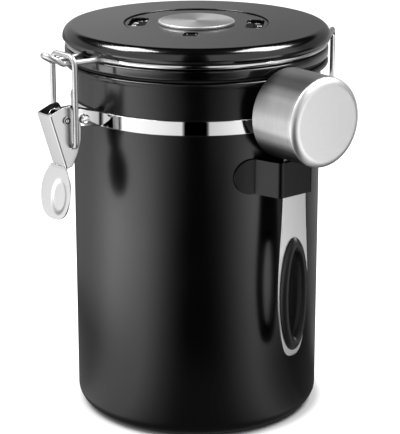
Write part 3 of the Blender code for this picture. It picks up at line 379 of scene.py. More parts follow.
def refined(node: str, edge: float = FINE_EDGE) -> Item:
    """Copy a frame node with its mesh welded and its edges softened.

    Args:
        node: The frame node's name.
        edge: Radius of the soft edges.

    Returns:
        The copy, which still has to replace the node.
    """
    shape = bmesh.new()
    shape.from_mesh(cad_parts[node].data)
    bmesh.ops.remove_doubles(shape, verts=shape.verts, dist=TINY)
    bmesh.ops.dissolve_limit(shape, angle_limit=FLAT_ANGLE, verts=shape.verts, edges=shape.edges)
    item = from_bmesh(f"{node}_detail", shape)
    soften(item, edge)
    return plain(item)


def show(item: Item, body: str, finishes: Sequence["Finish"], node: str = "") -> None:
    """Dress a finished piece, put it on its body and report it.

    Args:
        item: The piece.
        body: Name of the frame body that it moves with.
        finishes: Its finishes, in the order of its faces' material numbers.
        node: Frame node that it replaces, if any.
    """
    faces = [face.material_index for face in item.data.polygons]
    item.data.materials.clear()
    for finish in finishes:
        item.data.materials.append(finish.material())
    item.data.polygons.foreach_set("material_index", faces)
    item.data.shade_smooth()
    item.data.set_sharp_from_angle(angle=SHARP_ANGLE)
    weighted = item.modifiers.new("Flat faces stay flat", "WEIGHTED_NORMAL")
    weighted.keep_sharp = True
    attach(item, body)
    if node:
        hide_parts(node)
    LOG.info("%s on %s, %d faces", item.name, body, len(item.data.polygons))


def show_refined(
    node: str, body: str, finish: "Finish", edge: float = FINE_EDGE
) -> None:
    """Dress a frame node in its own shape, with soft edges."""
    show(refined(node, edge), body, (finish,), node)


def standing(x: float, z: float, y: float = 0) -> Matrix:
    """Place an outline drawn in x and height on the XZ plane, at a point of it."""
    return Matrix.Translation((x, y, z)) @ Matrix.Rotation(math.radians(90), 4, "X")


def joined(name: str, first: Item, others: Sequence[Item], operation: str) -> Item:
    """Combine solids.

    Args:
        name: The result's name.
        first: The solid that stays.
        others: The solids that are added, cut off or kept in common.
        operation: UNION, DIFFERENCE or INTERSECT.

    Returns:
        The combined solid.
    """
    for other in others:
        combine = first.modifiers.new("Combine", "BOOLEAN")
        combine.operation = operation
        combine.solver = "EXACT"
        combine.object = other
    first.name = name
    result = plain(first)
    for other in others:
        bpy.data.objects.remove(other, do_unlink=True)
    return result


def drill(radius: float, reach: float, x: float, z: float) -> Item:
    """Make a cutter across the XZ plane, which the cut that uses it removes.

    Args:
        radius: The hole's radius.
        reach: Half the cutter's length.
        x: The hole's place along x.
        z: Its height.

    Returns:
        The cutter.
    """
    ends = ((0, -reach, 0), (radius, -reach, 0), (radius, reach, 0), (0, reach, 0))
    place = Matrix.Translation((x, 0, z)) @ Matrix.Rotation(math.radians(-90), 4, "X")
    return turned("drill", flat(ends, closed=False), place, SMALL_TURN)


# Node trees


class NodeSheet:
    """Adds and links nodes in one node tree."""

    def __init__(self, tree: Tree) -> None:
        """Keep the tree."""
        self.tree = tree

    def open(
        self, inputs: dict[str, object], outputs: dict[str, str]
    ) -> tuple[dict[str, Socket], dict[str, Socket]]:
        """Give the tree its named sockets.

        Args:
            inputs: Starting value of each input, or its kind where it has none.
            outputs: Kind of each output.

        Returns:
            The inputs and the outputs, as sockets to link.
        """
        kinds = {int: "Int", float: "Float"}
        for name, value in inputs.items():
            kind = kinds.get(type(value), value)
            socket = self.tree.interface.new_socket(
                name, in_out="INPUT", socket_type=f"NodeSocket{kind}"
            )
            if kind is not value:
                socket.default_value = value
        for name, kind in outputs.items():
            self.tree.interface.new_socket(
                name, in_out="OUTPUT", socket_type=f"NodeSocket{kind}"
            )
        start, end = self.add("NodeGroupInput").outputs, self.add("NodeGroupOutput").inputs
        return {name: start[name] for name in inputs}, {name: end[name] for name in outputs}

    def add(self, kind: str, inputs: dict | None = None, **settings: object) -> bpy.types.Node:
        """Add a node.

        Args:
            kind: The node's type name.
            inputs: Its input values or the sockets that feed them, by name or number.
            **settings: Its properties.

        Returns:
            The node.
        """
        node = self.tree.nodes.new(kind)
        for name, value in settings.items():
            setattr(node, name, value)
        for key, value in (inputs or {}).items():
            if isinstance(value, Socket):
                self.tree.links.new(value, node.inputs[key])
            else:
                node.inputs[key].default_value = value
        return node

    def out(self, kind: str, inputs: dict | None = None, **settings: object) -> Socket:
        """Add a node and return its first output."""
        return self.add(kind, inputs, **settings).outputs[0]

    def maths(self, operation: str, *values: object) -> Socket:
        """Add a Math node and return its output."""
        return self.out("ShaderNodeMath", dict(enumerate(values)), operation=operation)

    def dot(self, vector: Socket, way: Spot) -> Socket:
        """Measure how far a vector reaches along a direction.

        Args:
            vector: The vector.
            way: The direction.

        Returns:
            The length.
        """
        inputs = {0: vector, 1: way}
        node = self.add("ShaderNodeVectorMath", inputs, operation="DOT_PRODUCT")
        return node.outputs["Value"]

    def spread(self, *values: object) -> Socket:
        """Map a value's range softly to another and return the output."""
        inputs = dict(enumerate(values))
        return self.out("ShaderNodeMapRange", inputs, interpolation_type="SMOOTHSTEP")

    def place(self) -> Socket:
        """Return the place on the piece."""
        return self.add("ShaderNodeTexCoord").outputs["Object"]

    def mixed(self, factor: object, first: object, second: object, **settings: object) -> Socket:
        """Mix two colours and return the result."""
        inputs = {"Factor": factor, "A": first, "B": second}
        return self.add("ShaderNodeMix", inputs, data_type="RGBA", **settings).outputs["Result"]

    def ramp(self, share: Socket, stops: Sequence[Pair], full: float = 1.0) -> Socket:
        """Turn a share from 0 to 1 into a level.

        Args:
            share: The share.
            stops: Places and levels.
            full: The highest level that the stops may have.

        Returns:
            The level.
        """
        node = self.add("ShaderNodeValToRGB", {0: share})
        elements = node.color_ramp.elements
        while len(elements) < len(stops):
            elements.new(1.0)
        for element, (place, level) in zip(elements, stops):
            element.position = place
            element.color = (level / full,) * 3 + (1.0,)
        return self.maths("MULTIPLY", node.outputs[0], full)

    def turn_level(self, y: Socket, x: Socket, table: Table, full: float = 1.0) -> Socket:
        """Return a table's level at an angle.

        Args:
            y: The angle's opposite side.
            x: Its near side.
            table: Angles in degrees and levels.
            full: The highest level that the table may have.

        Returns:
            The level.
        """
        share = self.maths("MULTIPLY_ADD", self.maths("ARCTAN2", y, x), 1 / (2 * math.pi), 0.5)
        return self.ramp(share, [(angle / 360 + 0.5, level) for angle, level in table], full)


class SharedEffect(Enum):
    """The shader groups, each built once."""

    GRAIN = "coat grain"
    BRUSHING = "brush lines"
    HANDLING = "handling marks"


@cache
def effect(kind: SharedEffect) -> Tree:
    """Build a shared shader group on its first use.

    The grain is that of a sprayed coat or a moulded skin. The brush lines are fine noise, long
    where a finish stretches Place. The handling marks are faint patches that hands have wiped.

    Args:
        kind: Which group.

    Returns:
        The group.
    """
    sheet = NodeSheet(bpy.data.node_groups.new(kind.value, "ShaderNodeTree"))
    if kind is SharedEffect.HANDLING:
        start, end = sheet.open({"Place": "Vector", "Patches per metre": 24.0}, {"Mask": "Float"})
        looks = {"Scale": start["Patches per metre"], "Detail": 2.0, "Distortion": 0.6}
        patches = sheet.out("ShaderNodeTexNoise", {"Vector": start["Place"], **looks})
        sheet.tree.links.new(sheet.spread(patches, *PATCH_EDGE, 0.0, 1.0), end["Mask"])
        return sheet.tree
    start, end = sheet.open(
        {"Place": "Vector", "Lines per metre": 2200.0, "Roughness": 0.3, "Spread": 0.05},
        dict.fromkeys(("Mask", "Roughness", "Height"), "Float"),
    )
    place, scale = start["Place"], start["Lines per metre"]
    brushed = kind is SharedEffect.BRUSHING
    looks = {"Detail": 4.0, "Roughness": 0.65} if brushed else {"Detail": 3.0}
    fine = mask = sheet.out("ShaderNodeTexNoise", {"Vector": place, "Scale": scale, **looks})
    if not brushed:
        wide = sheet.maths("MULTIPLY", scale, WIDE_GRAIN)
        mask = sheet.out("ShaderNodeTexNoise", {"Vector": place, "Scale": wide})
    change = sheet.maths("MULTIPLY", sheet.maths("SUBTRACT", mask, 0.5), start["Spread"])
    rough = sheet.maths("ADD", start["Roughness"], change)
    for name, value in (("Mask", mask), ("Roughness", rough), ("Height", fine)):
        sheet.tree.links.new(value, end[name])
    return sheet.tree


def geometry_tree(
    name: str,
    sizes: dict[str, object],
    grow: Callable[[NodeSheet, dict[str, Socket]], Socket],
) -> Tree:
    """Build a geometry node tree that ends in Realize Instances and Set Material.

    Args:
        name: The tree's name.
        sizes: Names and starting values of its inputs, after the geometry.
        grow: Adds the tree's own nodes and returns what they make.

    Returns:
        The tree.
    """
    sheet = NodeSheet(bpy.data.node_groups.new(name, "GeometryNodeTree"))
    inputs = {"Geometry": "Geometry", **sizes, "Material": "Material"}
    start, end = sheet.open(inputs, {"Geometry": "Geometry"})
    real = sheet.out("GeometryNodeRealizeInstances", {0: grow(sheet, start)})
    dressed = sheet.out("GeometryNodeSetMaterial", {0: real, "Material": start["Material"]})
    sheet.tree.links.new(dressed, end["Geometry"])
    return sheet.tree


def run_wire(sheet: NodeSheet, start: dict[str, Socket]) -> Socket:
    """Run a round wire along a host's edges.

    Args:
        sheet: The tree's sheet.
        start: Its inputs.

    Returns:
        The wire.
    """
    line = sheet.out("GeometryNodeMeshToCurve", {0: start["Geometry"]})
    size = {"Resolution": start["Sides"], "Radius": start["Wire Radius"]}
    ring = sheet.out("GeometryNodeCurvePrimitiveCircle", size)
    parts = {"Curve": line, "Profile Curve": ring, "Fill Caps": True}
    return sheet.out("GeometryNodeCurveToMesh", parts)


def print_marks(sheet: NodeSheet, start: dict[str, Socket]) -> Socket:
    """Print short radial marks round a ring.

    Args:
        sheet: The tree's sheet.
        start: Its inputs.

    Returns:
        The marks.
    """
    rounds = {"Vertices": start["Count"], "Radius": start["Ring Radius"]}
    ring = sheet.out("GeometryNodeMeshCircle", rounds)
    sides = {0: start["Mark Length"], 1: start["Mark Width"], 2: start["Mark Height"]}
    mark = sheet.out("GeometryNodeMeshCube", {"Size": sheet.out("ShaderNodeCombineXYZ", sides)})
    outward = {"Vector": sheet.out("GeometryNodeInputPosition")}
    turn = sheet.out("FunctionNodeAlignRotationToVector", outward, axis="X", pivot_axis="Z")
    marks = {"Points": ring, "Instance": mark, "Rotation": turn}
    lift = sheet.out("ShaderNodeCombineXYZ", {2: start["Level"]})
    lifted = {"Geometry": sheet.out("GeometryNodeInstanceOnPoints", marks), "Translation": lift}
    return sheet.out("GeometryNodeTransform", lifted)


@cache
def wire_tree() -> Tree:
    """Build the geometry nodes of a round wire."""
    return geometry_tree("round wire", {"Wire Radius": WIRE, "Sides": WIRE_SIDES}, run_wire)


@cache
def marks_tree() -> Tree:
    """Build the geometry nodes of marks round a ring.

    Returns:
        The tree.
    """
    sizes = {
        "Count": 12, "Ring Radius": 25 * MM, "Level": 0.0, "Mark Length": 1 * MM,
        "Mark Width": 0.3 * MM, "Mark Height": 0.05 * MM,
    }
    return geometry_tree("marks round a ring", sizes, print_marks)


def grown(name: str, host: Points, tree: Tree, sizes: dict[str, object]) -> Item:
    """Run a geometry node tree on a host path and keep the plain mesh.

    Args:
        name: The piece's name.
        host: Points of the host's path. One point is enough for a tree that needs none.
        tree: The node tree.
        sizes: Values of its named inputs.

    Returns:
        The mesh object, with no modifier left.
    """
    mesh = bpy.data.meshes.new(name)
    mesh.from_pydata(host, [(k, k + 1) for k in range(len(host) - 1)], [])
    item = linked(name, mesh)
    nodes = item.modifiers.new(tree.name, "NODES")
    nodes.node_group = tree
    sockets = {s.name: s.identifier for s in tree.interface.items_tree if s.in_out == "INPUT"}
    for label, value in sizes.items():
        nodes[sockets[label]] = value
    return plain(item)


# Finishes


class Brushing(Enum):
    """The way that a steel face is brushed."""

    NONE = "polished"
    ALONG = "straight lines"
    ROUND = "lines round an axis"
    SPUN = "rings on a spun face"


def grey(level: float) -> Colour:
    """Return a neutral colour."""
    return (level, level, level)


@dataclass(frozen=True)
class Finish:
    """What every finish has."""

    name: str  # the material's name
    colour: Colour  # its colour
    roughness: float = 0.3  # its mean roughness
    metallic: float = 0.0  # 1 for bare metal
    coat: float = 0.0  # weight of a clear top coat
    coat_roughness: float = 0.1  # roughness of that coat
    reflection: float = 1.5  # index of refraction of the surface
    grains: float = 2200.0  # grains or lines per metre
    relief: float = 0.004 * MM  # height of the grain
    variation: float = 0.25  # change of colour from place to place
    spread: float = 0.05  # change of roughness from place to place

    def place(self, sheet: NodeSheet) -> Socket:
        """Return the coordinates that the finish's pattern follows."""
        return sheet.place()

    def pattern(self) -> SharedEffect:
        """Return the shared effect that gives the finish its grain."""
        return SharedEffect.GRAIN

    def tint(self, sheet: NodeSheet, mask: Socket) -> Socket:
        """Change the colour over the surface.

        Args:
            sheet: The material's nodes.
            mask: The grain's mask.

        Returns:
            The colour.
        """
        dark = [channel * (1 - self.variation) for channel in self.colour]
        light = [min(1.0, channel * (1 + self.variation)) for channel in self.colour]
        return sheet.mixed(mask, (*dark, 1.0), (*light, 1.0))

    def material(self) -> bpy.types.Material:
        """Build the finish's material on its first use.

        Returns:
            The material.
        """
        made = bpy.data.materials.get(self.name)
        if made is not None:
            return made
        made = bpy.data.materials.new(self.name)
        made.use_nodes = True
        made.diffuse_color = (*self.colour, 1.0)
        sheet = NodeSheet(made.node_tree)
        values = {
            "Place": self.place(sheet), "Lines per metre": self.grains,
            "Roughness": self.roughness, "Spread": self.spread,
        }
        grain = sheet.add("ShaderNodeGroup", values, node_tree=effect(self.pattern()))
        spot = {"Place": sheet.place()}
        marks = sheet.add("ShaderNodeGroup", spot, node_tree=effect(SharedEffect.HANDLING))
        wiped = sheet.maths("MULTIPLY", marks.outputs["Mask"], self.spread / 2)
        height = {"Height": grain.outputs["Height"], "Distance": self.relief, "Strength": 1.0}
        shader = made.node_tree.nodes["Principled BSDF"].inputs
        for name, socket in (
            ("Base Color", self.tint(sheet, grain.outputs["Mask"])),
            ("Roughness", sheet.maths("ADD", grain.outputs["Roughness"], wiped)),
            ("Normal", sheet.out("ShaderNodeBump", height)),
        ):
            made.node_tree.links.new(socket, shader[name])
        for name, value in (
            ("Metallic", self.metallic), ("Coat Weight", self.coat),
            ("Coat Roughness", self.coat_roughness), ("IOR", self.reflection),
        ):
            shader[name].default_value = value
        return made


@dataclass(frozen=True)
class SteelFinish(Finish):
    """Bare steel, brushed or polished."""

    metallic: float = 1.0
    brushing: Brushing = Brushing.NONE  # the way it is brushed
    centre: Spot = (0.0, 0.0, 0.0)  # a point on the axis that the brush went round
    axis: Spot = (0.0, 0.0, 1.0)  # that axis, or the direction of straight lines
    stretch: float = 40.0  # how much longer than wide a line is
    arc_size: float = 20 * MM  # radius at which lines round an axis are measured
    face_share: float = 0.2  # how much of its depth a spun face's pattern takes

    def pattern(self) -> SharedEffect:
        """Return brush lines, or plain grain where the steel is polished."""
        return SharedEffect.GRAIN if self.brushing is Brushing.NONE else SharedEffect.BRUSHING

    def place(self, sheet: NodeSheet) -> Socket:
        """Stretch the coordinates along the brush lines.

        Args:
            sheet: The material's nodes.

        Returns:
            The coordinates that the lines follow.
        """
        raw = sheet.place()
        if self.brushing is Brushing.NONE:
            return raw
        turn = UP.rotation_difference(Vector(self.axis)).to_matrix().inverted()
        moves = {"Location": turn @ -Vector(self.centre), "Rotation": turn.to_euler()}
        mapped = sheet.out("ShaderNodeMapping", {"Vector": raw, **moves})
        parts = sheet.add("ShaderNodeSeparateXYZ", {0: mapped}).outputs
        if self.brushing is Brushing.ALONG:
            far = sheet.maths("DIVIDE", parts[2], self.stretch)
            return sheet.out("ShaderNodeCombineXYZ", {0: parts[0], 1: parts[1], 2: far})
        squares = [sheet.maths("MULTIPLY", parts[i], parts[i]) for i in (0, 1)]
        radius = sheet.maths("SQRT", sheet.maths("ADD", *squares))
        sides = [sheet.maths("DIVIDE", parts[i], sheet.maths("ADD", radius, TINY)) for i in (0, 1)]
        rounds = [sheet.maths("MULTIPLY", side, self.arc_size / self.stretch) for side in sides]
        depth = parts[2]
        if self.brushing is Brushing.SPUN:
            depth = sheet.maths("MULTIPLY", depth, self.face_share)
        across = sheet.maths("ADD", depth, radius)
        return sheet.out("ShaderNodeCombineXYZ", {0: rounds[0], 1: rounds[1], 2: across})

    def offset(self, sheet: NodeSheet, side: int) -> Socket:
        """Return how far a place is from the centre along X, Y or Z, which are 0, 1 and 2."""
        parts = sheet.add("ShaderNodeSeparateXYZ", {0: sheet.place()}).outputs
        return sheet.maths("SUBTRACT", parts[side], self.centre[side])


@dataclass(frozen=True)
class SpunFaceFinish(SteelFinish):
    """A spun steel face whose colour paints the light that its rings gather: painted highlight
    wedges round the axis, with painted shade between them.
    """

    brushing: Brushing = Brushing.SPUN
    fans: float = 2.0  # number of painted highlight wedges round the face
    fan_strength: float = 0.5  # change of colour from a painted highlight wedge to the painted shade between two

    def tint(self, sheet: NodeSheet, mask: Socket) -> Socket:
        """Change the colour with the rings and with the painted highlight wedges round the axis.

        Args:
            sheet: The material's nodes.
            mask: The grain's mask.

        Returns:
            The colour.
        """
        turn = sheet.maths("ARCTAN2", self.offset(sheet, 1), self.offset(sheet, 0))
        wave = sheet.maths("COSINE", sheet.maths("MULTIPLY", turn, self.fans))
        share = sheet.spread(wave, -1.0, 1.0, 1 - self.fan_strength, 1.0)
        return sheet.mixed(1.0, super().tint(sheet, mask), share, blend_type="MULTIPLY")


@dataclass(frozen=True)
class SpunWallFinish(SteelFinish):
    """A spun steel wall whose colour paints the light that its lines gather: painted light and
    shade stripes along its axis.
    """

    brushing: Brushing = Brushing.ROUND
    # Angles round the axis in degrees, from the side that faces -X, and their shares of the colour,
    # which paint light and shade stripes along the axis
    bands: Table = ((-180, 1.0), (180, 1.0))

    def tint(self, sheet: NodeSheet, mask: Socket) -> Socket:
        """Change the colour with the lines and with the painted light and shade stripes along the
        axis.

        Args:
            sheet: The material's nodes.
            mask: The grain's mask.

        Returns:
            The colour.
        """
        away = sheet.maths("MULTIPLY", self.offset(sheet, 0), -1.0)
        share = sheet.turn_level(self.offset(sheet, 2), away, self.bands)
        return sheet.mixed(1.0, super().tint(sheet, mask), share, blend_type="MULTIPLY")


BODY_COAT = Finish("body_coat", grey(0.001), roughness=0.24, reflection=1.52, coat=0.1,
                   coat_roughness=0.16, relief=0.001 * MM)
BRIDGE_COAT = Finish("bridge_coat", grey(0.001), roughness=0.3, reflection=1.36, relief=0.001 * MM)
LID_COAT = Finish("lid_coat", grey(0.001), roughness=0.14, reflection=1.62, coat=0.4,
                  coat_roughness=0.05, relief=0.0006 * MM)
DIAL_BLACK = Finish("dial_black", grey(0.002), roughness=0.16, reflection=1.62, coat=0.3,
                    coat_roughness=0.08, relief=0.001 * MM)
WHEEL_BLACK = Finish("wheel_black", grey(0.002), roughness=0.6, reflection=1.3)
NUMBER_WHITE = Finish("number_white", (0.86, 0.86, 0.84), roughness=0.5, variation=0.04)
PLUG_BLACK = Finish("plug_black", (0.020, 0.020, 0.021), roughness=0.42, relief=0.008 * MM)
SEAL_BLACK = Finish("seal_black", grey(0.014), roughness=0.6, relief=0.006 * MM)
GRIP_BLACK = Finish("grip_black", grey(0.006), roughness=0.42, relief=0.008 * MM)
FILTER_FELT = Finish("filter_felt", (0.72, 0.69, 0.63), roughness=0.95, grains=4000,
                     relief=0.05 * MM, variation=0.3)
INSIDE_STEEL = SteelFinish("inside_steel", (0.58, 0.57, 0.55), roughness=0.32,
                           brushing=Brushing.ROUND)
BRIGHT_STEEL = SteelFinish("bright_steel", grey(0.82), roughness=0.12, variation=0.03,
                           relief=0.0005 * MM, spread=0.02)
BAND_STEEL = SteelFinish("band_steel", grey(0.88), roughness=0.03, variation=0.02,
                         relief=0.0002 * MM, spread=0.01)
WIRE_STEEL = SteelFinish("wire_steel", grey(0.86), roughness=0.12, variation=0.02,
                         relief=0.0003 * MM, spread=0.02)
# A darker, rougher copy of the wire steel: painted shade that dims the highlights on the latch
# wires.
DIMMED_WIRE_STEEL = SteelFinish("dimmed_wire_steel", grey(0.58), roughness=0.42, variation=0.04,
                         relief=0.0005 * MM, spread=0.03)
PRESSED_STEEL = SteelFinish("pressed_steel", grey(0.62), roughness=0.34, variation=0.04,
                            relief=0.001 * MM)
# A lighter copy of the pressed steel, painted light on the lever's thumb tab.
PAINTED_LIGHT_TAB_STEEL = SteelFinish("painted_light_tab_steel", grey(0.68), roughness=0.3, variation=0.04, relief=0.001 * MM)
# Dark steel that paints the shade inside the lever's channel and in the middle of the pin's end.
PAINTED_SHADE_STEEL = SteelFinish("painted_shade_steel", grey(0.05), roughness=0.4, variation=0.1,
                           relief=0.002 * MM)
HANDLE_STEEL = SteelFinish("handle_steel", grey(0.66), roughness=0.3, brushing=Brushing.ALONG,
                           relief=0.002 * MM, variation=0.08)
# The knob's spun top carries painted highlight wedges and painted shade in its colour.
KNOB_PAINTED_SHEEN_STEEL = SpunFaceFinish("knob_painted_sheen_steel", grey(0.92), roughness=0.46, relief=0.002 * MM)
# The cup's steel comes in two copies, painted light and shade: a lighter one on its end and a
# darker one with painted stripes on its wall.
CUP_STEEL = SteelFinish(
    "cup_steel", grey(0.86), roughness=0.42, brushing=Brushing.SPUN,
    centre=(0.0, -CUP_MOUTH, CUP_AXIS), axis=(0.0, 1.0, 0.0), relief=0.003 * MM, variation=0.08,
)
CUP_WALL_PAINTED_SHEEN_STEEL = SpunWallFinish(
    "cup_wall_painted_sheen_steel", grey(0.60), roughness=0.5, centre=(0.0, -CUP_MOUTH, CUP_AXIS),
    axis=(0.0, 1.0, 0.0), variation=0.2,
    bands=(
        (-180, 0.6), (-100, 0.5), (-70, 0.2), (-46, 0.14), (-34, 0.28), (-22, 0.8), (-15, 0.7),
        (-9, 1.0), (-1, 0.9), (9, 1.0), (18, 0.8), (27, 0.48), (38, 0.18), (52, 0.07),
        (66, 0.14), (82, 0.42), (110, 0.5), (180, 0.6),
    ),
)


# The canister and its band


@dataclass
class CanisterBody:
    """The drawn steel cup with the rolled rim round its mouth."""

    radius: float = 60.0 * MM  # outer radius
    wall: float = 1.0 * MM  # sheet thickness
    corner: float = 8.0 * MM  # radius between the wall and the base
    mouth: float = 175.0 * MM  # height of the mouth
    rim_radius: float = 63.5 * MM  # outer radius of the rolled rim
    rim_height: float = 2.8 * MM  # its height
    rim_round: float = 1.1 * MM  # radius of its two edges

    def build(self) -> None:
        """Build the shell, coated outside and bare inside."""
        low = self.mouth - self.rim_height
        inner = self.radius - self.wall
        outside = [
            (0, 0, 0),
            (self.radius, 0, self.corner),
            (self.radius, low, self.rim_round / 3),
            (self.rim_radius, low, self.rim_round),
            (self.rim_radius, self.mouth, self.rim_round),
            (inner, self.mouth, 0),
        ]
        inside = [
            (inner, self.mouth, 0),
            (inner, self.wall, self.corner - self.wall),
            (0, self.wall, 0),
        ]
        coated = flat(outside, closed=False, steps=12)
        bare = flat(inside, closed=False, steps=10)[1:]
        shell = turned("canister_body", [*coated, *bare], inside_from=len(coated) - 1)
        show(shell, "canister", (BODY_COAT, INSIDE_STEEL), "canister_shell")


@dataclass
class ClampBand:
    """The steel strap with two ears in front, drawn together by a screw."""

    inner: float = 60.3 * MM  # inner radius of the strap
    sheet: float = 0.9 * MM  # its thickness
    bottom: float = 150.4 * MM  # height of its lower edge
    height: float = 6.7 * MM  # width of the strap
    ear_gap: float = 3.4 * MM  # half the space between the ears
    ear_sheet: float = 1.0 * MM  # thickness of an ear
    edge: float = 0.2 * MM  # radius of the sheared edges
    screw: Pair = (-70.4 * MM, 155.25 * MM)  # middle of the screw, as x and z
    # Place along x of an ear's shoulder, and its height over the strap
    shoulder: Pair = (-68.1 * MM, 2 * MM)
    neck: float = -72.7 * MM  # place along x where the round end starts
    ear_bend: float = 3 * MM  # radius of the outline's bends
    ear_end: float = 4.2 * MM  # radius of an ear round the lever's pin

    def ear_outline(self) -> Points:
        """Draw an ear.

        Returns:
            Its outline, as x and height.
        """
        root = -(self.inner + self.sheet / 4)
        top = self.bottom + self.height
        corners = [
            (root, self.bottom, 0),
            (root, top, 0),
            (self.shoulder[0], top + self.shoulder[1], self.ear_bend),
            (self.neck, PIN[1] + self.ear_end, self.ear_bend),
        ]
        end = arc(PIN, self.ear_end, 90, 270, 20)
        return [*flat(corners, closed=False), *end, Vector((self.neck, PIN[1] - self.ear_end, 0))]

    def strap(self) -> Item:
        """Build the strap round the canister, cut through in front.

        Returns:
            The strap.
        """
        outer = self.inner + self.sheet
        top = self.bottom + self.height
        profile = [
            (self.inner, self.bottom, self.edge / 2),
            (outer, self.bottom, self.edge),
            (outer, top, self.edge),
            (self.inner, top, self.edge / 2),
        ]
        strap = turned("strap", flat(profile, steps=3), closed=True)
        front, back = -outer - MM, -self.inner + MM
        sides = ((front, -1), (back, -1), (back, 1), (front, 1))
        gap = [Vector((x, side * self.ear_gap, 0)) for x, side in sides]
        middle = Matrix.Translation((0, 0, self.bottom + self.height / 2))
        return joined("strap", strap, [prism("gap", gap, 2 * self.height, middle)], "DIFFERENCE")

    def build(self) -> None:
        """Build the strap with its ears and the screw, spacer and nut between them."""
        ears = []
        for side in (-1, 1):
            place = standing(0, 0, side * (self.ear_gap + self.ear_sheet / 2))
            ears.append(cut_plate("ear", [self.ear_outline()], self.ear_sheet, self.edge, place))
        band = joined("band", self.strap(), ears, "UNION")
        reach = 2 * self.ear_gap + 2 * self.ear_sheet
        holes = [drill(PIN_HOLE, reach, *PIN), drill(SCREW_HOLE, reach, *self.screw)]
        band = joined("clamp_strap", band, holes, "DIFFERENCE")
        show(band, "canister", (BAND_STEEL,), "clamp_band")
        for node in ("band_screw", "band_spacer", "band_nut"):
            show_refined(node, "canister", BRIGHT_STEEL)


# The lid


@dataclass
class RingWire:
    """The lid's wire: hinge ends, legs, the ring in the groove and the nose in front."""

    ring: float = 61.9 * MM  # radius of the ring's middle line
    level: float = 182.5 * MM  # height of the ring
    hinge: Pair = (71.5 * MM, 153.75 * MM)  # middle of the hinge, as x and z
    end: float = 14.0 * MM  # distance of the wire's ends from the middle
    leg: float = 20.0 * MM  # distance of the legs from the middle
    nose_root: float = 7.0 * MM  # half width of the nose at the ring
    nose_tip: float = 4.2 * MM  # radius of the nose's tip
    nose_bend: float = 3.0 * MM  # radius of its bends
    bend_reach: float = 19.6 * MM  # distance from the ring to the bend in the nose
    tip_reach: float = 26.5 * MM  # distance from the ring to its tip
    tip_rise: float = 4.2 * MM  # height that the tip rises
    # Distance towards the nose up to which the wire keeps its bright steel; past it a darker,
    # rougher copy paints shade that dims its highlights
    polished_to: float = 60.5 * MM

    def half(self) -> Points:
        """Draw one side of the wire, from its hinge end to the nose's tip.

        Returns:
            Its middle line.
        """
        x, z = self.hinge
        corner = Vector((x, -self.leg, self.level))
        start = math.atan2(corner.y, corner.x) - math.acos(self.ring / math.hypot(*corner.xy))
        root = math.pi - math.asin(self.nose_root / self.ring)
        steps = 120
        corners = [
            (Vector((x, -self.end, z)), 0.0),
            (Vector((x, -self.leg, z)), WIRE_BEND),
            (corner, WIRE_CORNER),
        ]
        for step in range(steps + 1):
            angle = start - (root + start) * step / steps
            place = Vector((math.cos(angle), math.sin(angle), 0)) * self.ring + UP * self.level
            corners.append((place, 0.0 if step < steps else self.nose_bend))
        bend_x = -(self.ring + self.bend_reach)
        tip_x = -(self.ring + self.tip_reach)
        slope = self.tip_rise / (bend_x - tip_x)
        corners.append((Vector((bend_x, -self.nose_tip, self.level)), self.nose_bend))
        for point in arc((tip_x + self.nose_tip, 0), self.nose_tip, 270, 180, 12):
            rise = slope * (bend_x - point.x)
            corners.append((Vector((point.x, point.y, self.level + rise)), 0.0))
        return bent(corners)

    def build(self) -> None:
        """Build the wire by geometry nodes."""
        sizes = {"Wire Radius": WIRE, "Sides": WIRE_SIDES, "Material": BRIGHT_STEEL.material()}
        wire = grown("lid_ring_wire", mirrored(self.half(), y=-1), wire_tree(), sizes)
        # Towards the nose the wire takes the darker copy of its steel, painted shade that dims its
        # highlights.
        for face in wire.data.polygons:
            face.material_index = int(face.center.x < -self.polished_to)
        show(wire, "lid", (WIRE_STEEL, DIMMED_WIRE_STEEL), "lid_wire")


